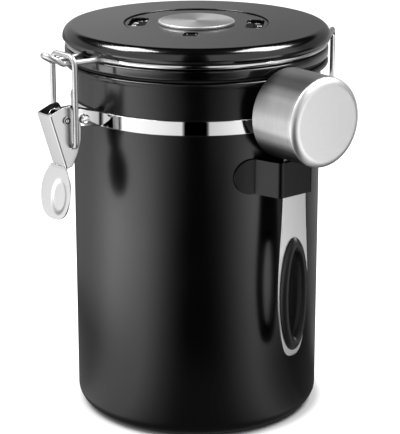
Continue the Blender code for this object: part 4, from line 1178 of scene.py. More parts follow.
@dataclass
class LidCover:
    """The pressed lid: flat top with the dial's recess, rolled bead, wire groove and skirt."""

    skirt_radius: float = 63.5 * MM  # outer radius of the skirt
    # Heights of the skirt's lower edge and of the groove's floor
    skirt: Pair = (176.5 * MM, 180.9 * MM)
    groove_radius: float = 60.3 * MM  # radius of the groove's wall
    groove_top: float = 184.1 * MM  # height of the groove's upper side
    bead_radius: float = 64.5 * MM  # outer radius of the bead
    bead_level: float = 185.3 * MM  # height of its widest line
    bead_top: float = 59.7 * MM  # radius where the bead meets the top
    bead_under: float = 0.9 * MM  # how far the bead draws in down to the groove
    edge_top: float = 190.8 * MM  # height of the top at the bead
    top: float = 191.3 * MM  # height of the top at the dial
    dial: float = 35.0 * MM  # radius of the dial's recess
    # Width and height of the ledge that the dial's cover lies on
    ledge: Pair = (1.6 * MM, 189.4 * MM)
    floor: float = 187.6 * MM  # height of the recess's floor
    sheet: float = 1.4 * MM  # thickness
    soft: float = 0.4 * MM  # radius of the groove's edges
    under_bend: float = 0.5 * MM  # radius of the bend under the recess
    # Inner radius, outer radius, lower face and upper face of the seal
    seal: tuple[float, ...] = (57.7 * MM, 62.4 * MM, 175.3 * MM, 176.2 * MM)

    def bead(self) -> Points:
        """Draw the bead's quarter oval, from the top outwards.

        Returns:
            Its points.
        """
        width, height = self.bead_radius - self.bead_top, self.edge_top - self.bead_level
        turns = [math.pi / 2 * step / 20 for step in range(1, 21)]
        return [
            Vector((self.bead_top + width * math.sin(t), self.bead_level + height * math.cos(t), 0))
            for t in turns
        ]

    def profile(self) -> Points:
        """Draw the cover's section.

        Returns:
            The closed profile, as radius and height.
        """
        low, groove = self.skirt
        inner, outer = self.groove_radius - self.sheet, self.skirt_radius
        step, ledge = self.ledge
        under = self.floor - self.sheet
        recess = [
            (SHAFT_HOLE, self.floor, 0),
            (self.dial - step, self.floor, self.soft / 2),
            (self.dial - step, ledge, self.soft / 4),
            (self.dial, ledge, self.soft / 4),
            (self.dial, self.top, self.soft * 3 / 4),
            (self.bead_top, self.edge_top, 0),
        ]
        below = [
            (self.bead_radius, self.bead_level, 0),
            (self.bead_radius - self.bead_under, self.groove_top, self.soft),
            (self.groove_radius, self.groove_top, self.soft),
            (self.groove_radius, groove, self.soft),
            (outer, groove, 2 * self.soft),
            (outer, low, 2 * self.soft),
            (inner, low, self.soft / 2),
            (inner, self.edge_top - self.sheet, 5 * self.soft),
            (self.dial + self.sheet, self.top - self.sheet, 0),
            (self.dial + self.sheet, under, self.under_bend),
            (SHAFT_HOLE, under, 0),
        ]
        return [*flat(recess, closed=False), *self.bead(), *flat(below, closed=False)[1:]]

    def build(self) -> None:
        """Build the cover, its gasket and its plug."""
        cover = turned("lid_top", self.profile(), closed=True)
        show(cover, "lid", (LID_COAT,), "lid_cover")
        inner, outer, low, high = self.seal
        ends = ((inner, low), (outer, low), (outer, high), (inner, high))
        seal = flat([(r, z, GAP) for r, z in ends], steps=4)
        show(turned("lid_seal", seal, closed=True), "lid", (SEAL_BLACK,), "lid_gasket")
        show_refined("lid_plug", "lid", PLUG_BLACK)


@dataclass
class Wheel:
    """One numbered wheel of the dial."""

    name: str  # first word of its names
    size: Spot  # radius, lower face and upper face
    count: int  # its last number
    numbers: float  # radius of the numbers' middle
    ticks: tuple[int, float] = (0, 0.0)  # number of marks and their radius
    soft: float = 0.15 * MM  # radius of the disc's edges
    text_size: float = 3.3 * MM  # size of the numbers
    text_sheet: float = 0.02 * MM  # half their thickness
    text_lift: float = 0.03 * MM  # height of their middle over the disc
    tick: Spot = (1.1 * MM, 0.35 * MM, 0.04 * MM)  # length, width and height of a mark

    def build_disc(self) -> None:
        """Build the wheel itself."""
        radius, low, high = self.size
        ends = [(SHAFT_HOLE, low, 0), (radius, low, self.soft), (radius, high, self.soft)]
        profile = flat([*ends, (SHAFT_HOLE, high, 0)], steps=3)
        disc = turned(f"{self.name}_wheel_disc", profile, closed=True)
        show(disc, f"{self.name}_dial", (WHEEL_BLACK,), f"{self.name}_wheel")

    def build_numbers(self) -> None:
        """Print the numbers round the wheel, with their feet inwards."""
        name = f"{self.name}_numbers"
        shape = bmesh.new()
        place = Matrix.Translation((0, self.numbers, self.size[2] + self.text_lift))
        for number in range(1, self.count + 1):
            text = bpy.data.curves.new(name, "FONT")
            text.body = str(number)
            text.size = self.text_size
            text.extrude = self.text_sheet
            text.align_x = text.align_y = "CENTER"
            turn = Matrix.Rotation(-2 * math.pi * (number - 1) / self.count, 4, "Z")
            figure = plain(linked(name, text), turn @ place)
            shape.from_mesh(figure.data)
            bpy.data.objects.remove(figure, do_unlink=True)
        show(from_bmesh(name, shape), f"{self.name}_dial", (NUMBER_WHITE,))

    def build_ticks(self) -> None:
        """Print short marks round the wheel by geometry nodes."""
        count, radius = self.ticks
        length, width, height = self.tick
        sizes = {
            "Count": count, "Ring Radius": radius, "Level": self.size[2] + self.text_lift,
            "Mark Length": length, "Mark Width": width, "Mark Height": height,
            "Material": NUMBER_WHITE.material(),
        }
        ticks = grown(f"{self.name}_ticks", [Vector()], marks_tree(), sizes)
        show(ticks, f"{self.name}_dial", (NUMBER_WHITE,))


@dataclass
class DateDial:
    """The date dial: windowed cover, two numbered wheels and the steel knob."""

    # The day wheel's size, last number and radius of its numbers
    day: tuple[Spot, int, float] = ((32.8 * MM, 188.3 * MM, 189.0 * MM), 31, 30.2 * MM)
    # The month wheel's, and its number of marks and their radius
    month: tuple[Spot, int, float, tuple[int, float]] = (
        (27.5 * MM, 189.2 * MM, 189.9 * MM), 12, 25.2 * MM, (36, 23.6 * MM),
    )
    cover_radius: float = 34.2 * MM  # radius of the windowed cover
    cover: Pair = (190.15 * MM, 190.8 * MM)  # heights of its lower and upper face
    window_edge: float = 32.4 * MM  # outer radius of the windows
    # Depth, width and corner radius of the two large windows
    window: Spot = (8.5 * MM, 21.0 * MM, 3.0 * MM)
    # Depth, width and corner radius of the pointer's window
    pointer: Spot = (9.0 * MM, 6.6 * MM, 1.0 * MM)
    knob_radius: float = 18.4 * MM  # radius of the knob
    knob: Pair = (190.9 * MM, 192.3 * MM)  # heights of its lower and upper face
    knob_edge: float = 0.35 * MM  # radius of its rim's edge
    shaft: Pair = (3.0 * MM, 184.9 * MM)  # radius of the knob's shaft and height of its lower end
    hollow: float = 0.1 * MM  # how far the knob's middle lies below its edge
    soft: float = 0.15 * MM  # radius of the cover's edges

    def window_outline(self, degrees: float, depth: float, width: float, corner: float) -> Points:
        """Draw a window, turned to its place.

        Args:
            degrees: Its angle round the dial.
            depth: Its size along the radius.
            width: Its size across.
            corner: Radius of its corners.

        Returns:
            Its outline.
        """
        inner, outer, side = self.window_edge - depth, self.window_edge, width / 2
        ends = ((inner, -side), (outer, -side), (outer, side), (inner, side))
        outline = flat([(x, y, corner) for x, y in ends], steps=10)
        turn = Matrix.Rotation(math.radians(degrees), 3, "Z")
        return [turn @ point for point in outline]

    def build_cover(self) -> None:
        """Build the windowed cover."""
        low, high = self.cover
        outlines = [
            oval(self.cover_radius, self.cover_radius, steps=FINE_TURN),
            oval(SHAFT_HOLE, SHAFT_HOLE),
            self.window_outline(135, *self.window),
            self.window_outline(315, *self.window),
            self.window_outline(225, *self.pointer),
        ]
        middle = Matrix.Translation((0, 0, (low + high) / 2))
        cover = cut_plate("dial_plate", outlines, high - low, self.soft, middle)
        show(cover, "lid", (DIAL_BLACK,), "dial_cover")

    def build_knob(self) -> None:
        """Build the knob with its shaft."""
        low, high = self.knob
        radius, edge, shaft, foot = self.knob_radius, self.knob_edge, *self.shaft
        profile = [
            (0, high - self.hollow, 0),
            (radius - 2 * edge, high, edge),
            (radius, high - edge, edge),
            (radius, low, edge / 2),
            (shaft, low, 0),
            (shaft, foot, 0),
            (0, foot, 0),
        ]
        knob = turned("dial_button", flat(profile, closed=False))
        show(knob, "month_dial", (KNOB_PAINTED_SHEEN_STEEL,), "dial_knob")

    def build(self) -> None:
        """Build the whole dial."""
        self.build_cover()
        day, month = Wheel("day", *self.day), Wheel("month", *self.month)
        day.build_disc()
        month.build_disc()
        day.build_numbers()
        month.build_numbers()
        month.build_ticks()
        self.build_knob()
        show_refined("dial_retainer", "month_dial", BRIGHT_STEEL)


@dataclass
class GasValve:
    """The one-way valve in the plug: slotted housing, felt filter, flap and vented cap."""

    edge: float = 0.15 * MM  # radius of its pieces' edges

    def build(self) -> None:
        """Build the valve's pieces."""
        show_refined("valve_housing", "lid", PLUG_BLACK, self.edge)
        show_refined("valve_filter", "lid", FILTER_FELT, self.edge)
        show_refined("valve_cap", "lid", PLUG_BLACK, self.edge)
        show_refined("valve_flap", "valve", SEAL_BLACK, self.edge)


# The latch and the hinge


@dataclass
class ClampLatch:
    """The lever on its pin, with its thumb tab, and the clamp wire hooked into it."""

    depth: float = 17.5 * MM  # depth of the lever's channel
    height: float = 30.0 * MM  # height of the channel
    pin_shares: Pair = (0.491, 0.783)  # where the pin lies in the depth and the height
    # Depths, heights and bend radii in millimetres of the channel's side outline
    side: tuple[Spot, ...] = (
        (1.000, 0.893, 0.6), (0.583, 0.987, 3), (0.343, 1.000, 1.5), (0.170, 0.860, 2),
        (0.030, 0.720, 2), (0.000, 0.590, 3), (0.020, 0.420, 3), (0.130, 0.220, 3),
        (0.300, 0.040, 1), (0.514, 0.007, 0.4),
    )
    # Depth and height of the web's upper and lower end
    web_shares: tuple[Pair, Pair] = ((1.0, 0.893), (0.514, 0.007))
    sheet: float = 0.8 * MM  # sheet thickness
    fold: float = 0.7 * MM  # radius of the channel's folds
    inner: float = 4.7 * MM  # half the space in the channel
    tab_width: float = 22.9 * MM  # width of the thumb tab
    tab_height: float = 24.4 * MM  # its height
    # Shares of its half width and height along one side, from the top
    tab_half: Table = (
        (0.50, -0.04), (0.66, 0.06), (0.86, 0.20), (0.98, 0.36), (1.00, 0.50),
        (0.95, 0.68), (0.80, 0.84), (0.56, 0.94), (0.29, 0.99), (0.02, 1.0),
    )
    lean: float = 8.5  # angle that it leans outwards, in degrees
    # Places of the pressed oval's middle, across and as a share of the tab's height
    press: Pair = (3.0 * MM, 0.54)
    press_size: Pair = (5.8 * MM, 8.4 * MM)  # half width and half height of the oval
    press_depth: float = 0.45 * MM  # its depth
    # Where its slope starts and how wide it is, as shares of its size
    press_slope: Pair = (1.06, 0.30)
    hook: Pair = (-78.2 * MM, 143.95 * MM)  # where the wire is hooked in, as x and z
    wire_width: float = 8.7 * MM  # half width of the clamp wire
    wire_top: float = 185.75 * MM  # height of its crosspiece
    wire_end: float = 3.6 * MM  # distance of its ends from the middle
    pin_edge: float = 0.2 * MM  # radius of the edges of the lever's pin
    pin_dark: float = 1.3 * MM  # radius of the painted shade in the middle of its end
    pin_facing: float = 0.9  # how squarely a face looks along the pin to count as its end
    slack: float = 0.05 * MM  # how close to the channel's inside a face still counts as inside

    def from_pin(self, depth: float, height: float) -> Pair:
        """Return a share of the depth and the height as a place from the pin."""
        share, rise = self.pin_shares
        return (share - depth) * self.depth, (height - rise) * self.height

    def side_outline(self) -> Points:
        """Draw the channel from the side.

        Returns:
            Its outline, as x and height from the pin.
        """
        corners = [(*self.from_pin(*place), bend * MM) for *place, bend in self.side]
        return flat(corners)

    def web(self) -> tuple[Vector, Vector, Vector, Vector]:
        """Find the web between the channel's sides.

        Returns:
            Its top and bottom from the pin, and its ways down and inwards.
        """
        top, bottom = (Vector((*self.from_pin(*shares), 0)) for shares in self.web_shares)
        down = (bottom - top).normalized()
        inward = Vector((-down.y, down.x, 0))
        return top, bottom, down, inward

    def channel(self) -> Item:
        """Build the folded channel, open towards the canister.

        Returns:
            The channel.
        """
        place = standing(*PIN)
        top, bottom, down, inward = self.web()
        outer = 2 * (self.inner + self.sheet)
        body = cut_plate("channel", [self.side_outline()], outer, self.fold, place)
        near = top + inward * self.sheet - down * self.height
        far = bottom + inward * self.sheet + down * self.height
        reach = Vector((2 * self.height, 0, 0))
        hollow = prism("hollow", [near, far, far + reach, near + reach], 2 * self.inner, place)
        return joined("channel", body, [hollow], "DIFFERENCE")

    def tab(self) -> Item:
        """Build the dished thumb tab with its pressed oval.

        Returns:
            The tab.
        """
        bottom = self.web()[1]
        place = Matrix.Translation((PIN[0] + bottom.x, 0, PIN[1] + bottom.y))
        for angle, axis in ((self.lean, "Y"), (90, "Z"), (90, "X")):
            place = place @ Matrix.Rotation(math.radians(angle), 4, axis)
        columns = 48
        shape = bmesh.new()
        rows = []
        for point in smooth_through(self.tab_half):
            y = -point.y * self.tab_height
            xs = [point.x * self.tab_width / 2 * (2 * k / columns - 1) for k in range(columns + 1)]
            spots = [Vector((x, y, self.pressed(x, y) - self.sheet / 2)) for x in xs]
            rows.append([shape.verts.new(place @ spot) for spot in spots])
        for low, high in zip(rows, rows[1:]):
            for k in range(columns):
                shape.faces.new((low[k], low[k + 1], high[k + 1], high[k]))
        tab = from_bmesh("tab", shape, outward=False)
        solid = tab.modifiers.new("Sheet", "SOLIDIFY")
        solid.thickness = self.sheet
        solid.offset = 1
        solid.use_even_offset = True
        return plain(tab)

    def pressed(self, x: float, y: float) -> float:
        """Measure how deep the tab's oval is pressed at a point.

        Args:
            x: The point's place across.
            y: Its height.

        Returns:
            The depth.
        """
        aside, down_share = self.press
        width, height = self.press_size
        away = math.hypot((x + aside) / width, (y + self.tab_height * down_share) / height)
        start, slope = self.press_slope
        share = min(1.0, max(0.0, (start - away) / slope))
        return self.press_depth * share * share * (3 - 2 * share)

    def shade_inside(self, lever: Item) -> None:
        """Give faces inside the channel the second material, painted shade, and the tab the third,
        a lighter copy of the lever's steel that paints light on it.

        Args:
            lever: The lever.
        """
        top, bottom, _, inward = self.web()
        way = Vector((inward.x, 0, inward.y))
        start = Vector((PIN[0] + top.x, 0, PIN[1] + top.y))
        for face in lever.data.polygons:
            in_width = abs(face.center.y) < self.inner + self.slack
            in_depth = (face.center - start).dot(way) > self.sheet - self.slack
            in_height = face.center.z > PIN[1] + bottom.y
            face.material_index = int(in_width and in_depth) if in_height else 2

    def build_lever(self) -> None:
        """Build the lever and the pin, whose end has painted shade round its middle."""
        lever = joined("lever_raw", self.channel(), [self.tab()], "UNION")
        reach = 2 * (self.inner + self.sheet)
        holes = [drill(PIN_HOLE, reach, *PIN), drill(SCREW_HOLE, reach, *self.hook)]
        lever = joined("lever_raw", lever, holes, "DIFFERENCE")
        lever.name = "clamp_lever"
        self.shade_inside(lever)
        finishes = (PRESSED_STEEL, PAINTED_SHADE_STEEL, PAINTED_LIGHT_TAB_STEEL)
        show(lever, "lever", finishes, "latch_lever")
        pin = refined("lever_pin", self.pin_edge)
        # The middle of the pin's end takes painted shade where a dimple's shade would fall.
        for face in pin.data.polygons:
            away = math.hypot(face.center.x - PIN[0], face.center.z - PIN[1])
            at_end = abs(face.normal.y) > self.pin_facing
            face.material_index = int(at_end and away < self.pin_dark)
        show(pin, "canister", (BRIGHT_STEEL, PAINTED_SHADE_STEEL), "lever_pin")

    def build_wire(self) -> None:
        """Build the clamp wire by geometry nodes."""
        x, z = self.hook
        corners = [
            (Vector((x, -self.wire_end, z)), 0.0),
            (Vector((x, -self.wire_width, z)), WIRE_BEND),
            (Vector((x, -self.wire_width, self.wire_top)), WIRE_CORNER),
            (Vector((x, 0, self.wire_top)), 0.0),
        ]
        sizes = {"Wire Radius": WIRE, "Sides": WIRE_SIDES, "Material": BRIGHT_STEEL.material()}
        wire = grown("clamp_bail", mirrored(bent(corners, steps=10), y=-1), wire_tree(), sizes)
        # The clamp wire takes the darker copy of the wire's steel, painted shade that dims its
        # highlights.
        show(wire, "clamp", (DIMMED_WIRE_STEEL,), "clamp_wire")

    def build(self) -> None:
        """Build the lever and the clamp wire."""
        self.build_lever()
        self.build_wire()


@dataclass
class HingeBracket:
    """The bracket on the band that carries the lid wire's ends."""

    edge: float = 0.2 * MM  # radius of its edges

    def build(self) -> None:
        """Build the bracket."""
        show_refined("hinge_bracket", "canister", PRESSED_STEEL, self.edge)


# The scoop and its bridge


@dataclass
class ScoopBridge:
    """The raised strap with two round feet that the scoop's handle hangs through."""

    foot: float = 60.3 * MM  # inner radius of its feet
    bottom: float = 121.2 * MM  # height of its lower edge
    height: float = 16.6 * MM  # width of the strap
    half_length: float = 23.6 * MM  # half its length
    half_width: float = 9.4 * MM  # half the space inside
    front: float = 72.3 * MM  # distance of its inner front from the axis
    flare: float = 3.0 * MM  # how far the foot of a leg spreads
    sheet: float = 0.8 * MM  # sheet thickness
    bend: float = 1.6 * MM  # radius of its upper bends
    foot_bend: float = 1.3 * MM  # radius of the bends at its feet
    # Radius of its round ends as a share of its height, just under a half
    round_share: float = 0.4999
    edge: float = 0.2 * MM  # radius of its edges

    def path(self) -> Points:
        """Draw the bridge's inner line in plan, with room for the bend at the foot's end.

        Returns:
            The line.
        """
        start = math.asin(self.half_length / self.foot)
        end = math.asin((self.half_width + self.flare + self.sheet) / self.foot)
        turns = [start + (end - start) * step / 16 for step in (*range(14), 16)]
        foot = [Vector((self.foot * math.sin(t), -self.foot * math.cos(t), 0)) for t in turns]
        corners = [(point, 0.0) for point in foot[:-1]]
        corners.append((foot[-1], self.foot_bend))
        corners.append((Vector((self.half_width, -self.front, 0)), self.bend))
        corners.append((Vector((0, -self.front, 0)), 0.0))
        return mirrored(bent(corners, steps=8), x=-1)

    def build(self) -> None:
        """Build the bridge."""
        path = self.path()
        outer = []
        for k, point in enumerate(path):
            along = (path[min(k + 1, len(path) - 1)] - path[max(k - 1, 0)]).normalized()
            outer.append(point + Vector((-along.y, along.x, 0)) * self.sheet)
        middle = Matrix.Translation(UP * (self.bottom + self.height / 2))
        sheet = prism("bridge_raw", [*path, *reversed(outer)], self.height + MM, middle)
        round_end = self.height * self.round_share
        ends = [
            (side * self.half_length, self.bottom + share * self.height, round_end)
            for side, share in ((-1, 0), (1, 0), (1, 1), (-1, 1))
        ]
        trim = prism("trim", flat(ends, steps=24), 2 * (self.front + MM), standing(0, 0))
        bridge = joined("bridge_raw", sheet, [trim], "INTERSECT")
        soften(bridge, self.edge)
        bridge = plain(bridge)
        bridge.name = "hanging_bridge"
        show(bridge, "canister", (BRIDGE_COAT,), "scoop_bridge")


@dataclass
class Scoop:
    """The measuring scoop: a steel cup on a flat handle with a rubber grip."""

    depth: float = 27.8 * MM  # depth of the cup
    radius: float = 20.9 * MM  # its radius
    corner: float = 4.0 * MM  # radius between its wall and its end
    wall: float = 0.8 * MM  # its sheet thickness
    handle_back: float = 69.8 * MM  # distance of the handle's back from the canister's axis
    handle_sheet: float = 1.0 * MM  # thickness of the handle
    handle_foot: float = 40.8 * MM  # height of its lower end
    handle_length: float = 97.3 * MM  # length that the outline's shares stand for
    handle_width: float = 9.1 * MM  # half its width
    # Shares of that width and length along one side, from the foot
    handle_side: Table = (
        (0.0, 0.0), (0.28, 0.006), (0.55, 0.033), (0.74, 0.089), (0.84, 0.144), (0.92, 0.203),
        (0.98, 0.264), (1.00, 0.333), (0.985, 0.424), (0.935, 0.513), (0.875, 0.600),
        (0.815, 0.690), (0.760, 0.814), (0.740, 0.945),
    )
    handle_edge: float = 0.25 * MM  # radius of its edges
    grip_centre: float = 71.9 * MM  # height of the grip's middle
    grip: Pair = (8.3 * MM, 28.1 * MM)  # half width and half height of the grip
    slot: Pair = (3.9 * MM, 21.4 * MM)  # half width and half height of its slot
    lip: float = 1.5 * MM  # how far the handle's hole is larger than the slot
    crown: float = 2.8 * MM  # how far the grip stands out in front
    # Powers that shift the crown's highest line outwards and that fill its sides
    crown_form: Pair = (0.9, 0.62)
    # How far the grip stands out at the back, at its ring and at its slot
    back: Pair = (1.2 * MM, 0.6 * MM)
    back_form: Spot = (0.8, 0.6, 0.2)  # shares of the ring's width where the back has its corners
    wall_slope: float = 0.35  # slope up to which the cup takes its wall's finish: brushed round, and a darker copy of its steel with painted light and shade
    aside: float = 0.8 * MM  # how far the handle hangs to the right of the cup's middle

    def build_cup(self) -> None:
        """Build the cup, lying with its mouth to the canister."""
        inner, end = self.radius - self.wall, self.depth - self.wall
        profile = [
            (0, self.depth, 0),
            (self.radius, self.depth, self.corner),
            (self.radius, 0, GAP),
            (inner, 0, GAP),
            (inner, end, self.corner - self.wall),
            (0, end, 0),
        ]
        place = standing(0, CUP_AXIS, -CUP_MOUTH)
        cup = turned("measuring_cup", flat(profile, closed=False, steps=10), place)
        # The wall's faces take the darker copy of the cup's steel: painted shade, with painted
        # light stripes.
        for face in cup.data.polygons:
            face.material_index = int(abs(face.normal.y) < self.wall_slope)
        show(cup, "scoop", (CUP_STEEL, CUP_WALL_PAINTED_SHEEN_STEEL), "scoop_cup")

    def build_handle(self) -> None:
        """Build the handle, cut out round the grip."""
        side = smooth_through(
            [
                (width * self.handle_width, self.handle_foot + height * self.handle_length)
                for width, height in self.handle_side
            ]
        )
        reach = self.radius + GAP
        top_xs = [side[-1].x * (1 - step / 10) for step in range(11)]
        top = [Vector((x, CUP_AXIS - math.sqrt(reach**2 - x**2), 0)) for x in top_xs]
        outline = mirrored([*side, *top], x=-1)[:-1]
        hole = oval(self.slot[0] + self.lip, self.slot[1] + self.lip, self.grip_centre, steps=96)
        middle = self.handle_back + self.handle_sheet / 2
        place = standing(self.aside, 0, -middle)
        plate = [outline, hole]
        handle = cut_plate("strip_handle", plate, self.handle_sheet, self.handle_edge, place)
        show(handle, "scoop", (HANDLE_STEEL,), "scoop_handle")

    def build_grip(self) -> None:
        """Build the grip, a crowned oval ring with a long slot."""
        front = -(self.handle_back + self.handle_sheet)
        rear = -self.handle_back
        band = (self.grip[0] - self.slot[0], self.grip[1] - self.slot[1])
        neck = (self.slot[0] + self.lip - GAP, self.slot[1] + self.lip - GAP)
        lean, swell = self.crown_form
        shoulder, outside, inside = self.back_form

        def ring(share: float, y: float) -> Spot:
            """Return a section point at a share of the band's width."""
            return self.slot[0] + share * band[0], self.slot[1] + share * band[1], y

        sections = [
            ring(share, front - GAP - (self.crown - GAP) * math.sin(math.pi * share**lean) ** swell)
            for share in (step / 20 for step in range(21))
        ]
        sections += [(*neck, front - GAP), (*neck, rear + GAP), ring(shoulder, rear + GAP)]
        sections += [ring(share, rear + self.back[0]) for share in (outside, inside)]
        sections.append(ring(0.0, rear + self.back[1]))
        shape = bmesh.new()
        steps = 120
        loops = []
        for half_width, half_height, y in sections:
            loop = oval(half_width, half_height, self.grip_centre, steps)
            loops.append([shape.verts.new((p.x + self.aside, y, p.y)) for p in loop])
        for loop, following in zip(loops, [*loops[1:], loops[0]]):
            for k in range(steps):
                j = (k + 1) % steps
                shape.faces.new((loop[k], loop[j], following[j], following[k]))
        grip = from_bmesh("rubber_grip", shape)
        show(grip, "scoop", (GRIP_BLACK,), "scoop_grip")

    def build(self) -> None:
        """Build the whole scoop."""
        self.build_cup()
        self.build_handle()
        self.build_grip()


# Studio and camera


@dataclass
class PhotoCamera:
    """The photograph's camera."""

    place: Spot = (-0.5259, -0.6425, 0.3514)  # where it stands
    forward: Spot = (0.6058, 0.7381, -0.2971)  # its viewing direction
    lens: float = 145.09  # focal length in millimetres for the sensor's long side
    sensor: float = 36.0  # that side, in millimetres
    swing: float = 0.000686  # small turn to the right, in radians

    def build(self) -> None:
        """Place the camera and make it the scene's."""
        data = bpy.data.cameras.new("photo_camera")
        data.lens = self.lens
        data.sensor_width = self.sensor
        data.sensor_fit = "AUTO"
        item = linked("photo_camera", data)
        item.location = self.place
        forward = Matrix.Rotation(-self.swing, 3, "Z") @ Vector(self.forward)
        item.rotation_euler = forward.to_track_quat("-Z", "Y").to_euler()
        bpy.context.scene.camera = item


@dataclass
class Studio:
    """White floor and surroundings, and two softboxes overhead.

    The black coats show what they mirror, so the floor and the surroundings have one level in
    mirrored rays and another in the picture. An angle is measured round the canister from the
    camera's side, with the camera's right positive.
    """

    right: Spot = (0.7730, -0.6344, 0.0)  # level direction to the camera's right
    near: Spot = (-0.6344, -0.7730, 0.0)  # level direction to the camera
    floor_size: float = 12.0  # side of the square floor
    floor_white: Pair = (0.5, 0.7)  # its colour's level in the picture and in soft light
    box_size: Pair = (0.50, 0.42)  # size of a softbox across and along the view
    box_place: Pair = (0.50, 0.80)  # distance of a softbox's middle to the side and its height
    box_power: float = 9.5  # power of a softbox
    # Distances in metres and levels of the floor's glow, the white that no cast shadow dims; it
    # falls to nothing close to the canister, a painted shadow round its foot
    floor_glow: Table = (
        (0.0, 0.0), (0.0575, 0.0), (0.060, 0.3), (0.063, 0.62), (0.067, 0.9), (0.10, 1.0),
        (1.0, 1.0),
    )
    shadow_aside: float = 0.0018  # how far the painted shadow lies to the right of the canister
    full: float = 4.2  # level that a ramp's 1 stands for
    # Angles and mirrored levels of the floor
    floor_turn: Table = (
        (-180, 0.15), (-150, 0.18), (-124, 0.48), (-107, 0.87), (-92, 1.66), (-82, 2.6),
        (-76, 2.95), (-67, 3.0), (-56, 2.6), (-46, 2.15), (-36, 1.35), (-26, 0.55), (-16, 0.10),
        (-9, 0.0), (9, 0.0), (15, 0.03), (22, 0.12), (32, 0.54), (42, 1.12), (52, 1.7),
        (63, 1.8), (72, 1.6), (76, 0.2), (87, 0.08), (109, 0.03), (117, 0.28), (126, 0.38),
        (150, 0.35), (180, 0.15),
    )
    # Distances from the axis and shares of the mirrored level
    floor_reach: Table = (
        (0.0615, 0.0), (0.066, 0.36), (0.09, 0.50), (0.155, 0.64), (0.225, 0.76), (0.306, 0.90),
        (0.39, 1.0), (1.0, 1.0),
    )
    # Angles and shares by which the floor is darker close to the canister
    near_shade: Table = (
        (-180, 0.6), (-95, 0.72), (-87, 0.68), (-74, 0.52), (-62, 0.36), (-53, 0.22),
        (-43, 0.0), (44, 0.0), (56, 0.6), (66, 0.88), (100, 0.9), (112, 0.5), (125, 0.0),
        (180, 0.6),
    )
    near_level: float = 0.075  # least mirrored level of the floor close to the canister
    # Distances over which that shade and that least level fade out
    near_fade: tuple[Pair, Pair] = ((0.14, 0.26), (0.11, 0.20))
    # Inner and outer radius, angles and levels of the parts of the floor that the clamp band and
    # the lid's skirt mirror
    rings: tuple[tuple[float, float, Table], ...] = (
        (0.600, 0.735, (
            (-180, 0.5), (-124, 0.6), (-118, 0.75), (-112, 0.75), (-111, 0.15), (-108, 0.15),
            (-107, 1.1), (-97, 1.1), (-96, 0.15), (-94, 0.15), (-93, 1.1), (-89.5, 1.1),
            (-88.5, 0.3), (-87, 0.3), (-86, 0.8), (-84, 0.8), (-83, 0.2), (-81.5, 0.2),
            (-80, 1.12), (-50, 1.12), (-32, 0.99), (-16, 0.80), (-12, 0.80), (-10.8, 0.0),
            (9.6, 0.0), (10.8, 0.64), (22, 0.77), (38, 0.98), (100, 1.0), (180, 0.5),
        )),
        (0.745, 0.870, (
            (-180, 0.4), (-133, 0.6), (-128, 0.8), (-127, 0.0), (-124, 0.0), (-123, 0.9),
            (-103, 1.0), (-98, 1.3), (-97, 0.0), (-94, 0.0), (-93, 2.2), (-82, 3.4), (-72, 2.4),
            (-63, 1.05), (-54, 0.12), (-46, 0.02), (-38, 0.0), (32, 0.0), (40, 0.4), (56, 1.1),
            (90, 1.1), (180, 0.4),
        )),
    )
    ring_edge: float = 0.015  # width of their soft edges
    # Angles and mirrored levels of the surroundings in front
    front_turn: Table = (
        (-180, 0.45), (-110, 0.45), (-90, 0.95), (-13.5, 0.95), (-11, 0.0), (9, 0.0), (11.5, 0.95),
        (90, 0.95), (110, 0.45), (180, 0.45),
    )
    # Heights over which they turn dark, and their shares before and after
    front_ceiling: tuple[float, ...] = (0.66, 0.85, 1.0, 0.03)
    # Mirrored level of the low surroundings behind, on the left and the right
    back_levels: Pair = (0.48, 0.30)
    # Heights over which they turn dark, and their shares before and after
    back_ceiling: tuple[float, ...] = (0.38, 0.46, 1.0, 0.02)
    # How far towards the camera a ray points where the front takes over
    front_edge: Pair = (-0.25, 0.05)
    # How far to the right it points where the right level takes over behind
    side_edge: Pair = (-0.08, 0.08)
    fill: float = 0.3  # level of the surroundings' soft light

    def turned(self, sheet: NodeSheet, vector: Socket, table: Table) -> Socket:
        """Return a table's level at the angle of a place or a direction."""
        sides = [sheet.dot(vector, way) for way in (self.right, self.near)]
        return sheet.turn_level(*sides, table, self.full)

    def mirrored_level(self, sheet: NodeSheet, place: Socket) -> Socket:
        """Return the floor's level in mirrored rays.

        Args:
            sheet: The floor's nodes.
            place: The place on the floor.

        Returns:
            The level.
        """
        reach = sheet.add("ShaderNodeVectorMath", {0: place}, operation="LENGTH").outputs["Value"]
        share = sheet.ramp(reach, self.floor_reach, self.full)
        wide = sheet.maths("MULTIPLY", self.turned(sheet, place, self.floor_turn), share)
        near, close = (sheet.spread(reach, *fade, 1.0, 0.0) for fade in self.near_fade)
        shade = sheet.maths("MULTIPLY", self.turned(sheet, place, self.near_shade), near)
        level = sheet.maths("MULTIPLY", wide, sheet.maths("SUBTRACT", 1.0, shade))
        level = sheet.maths("MULTIPLY_ADD", close, self.near_level, level)
        for low, high, table in self.rings:
            starts = sheet.spread(reach, low, low + self.ring_edge, 0.0, 1.0)
            ends = sheet.spread(reach, high - self.ring_edge, high, 1.0, 0.0)
            within = sheet.maths("MULTIPLY", starts, ends)
            change = sheet.maths("SUBTRACT", self.turned(sheet, place, table), level)
            level = sheet.maths("MULTIPLY_ADD", change, within, level)
        return level

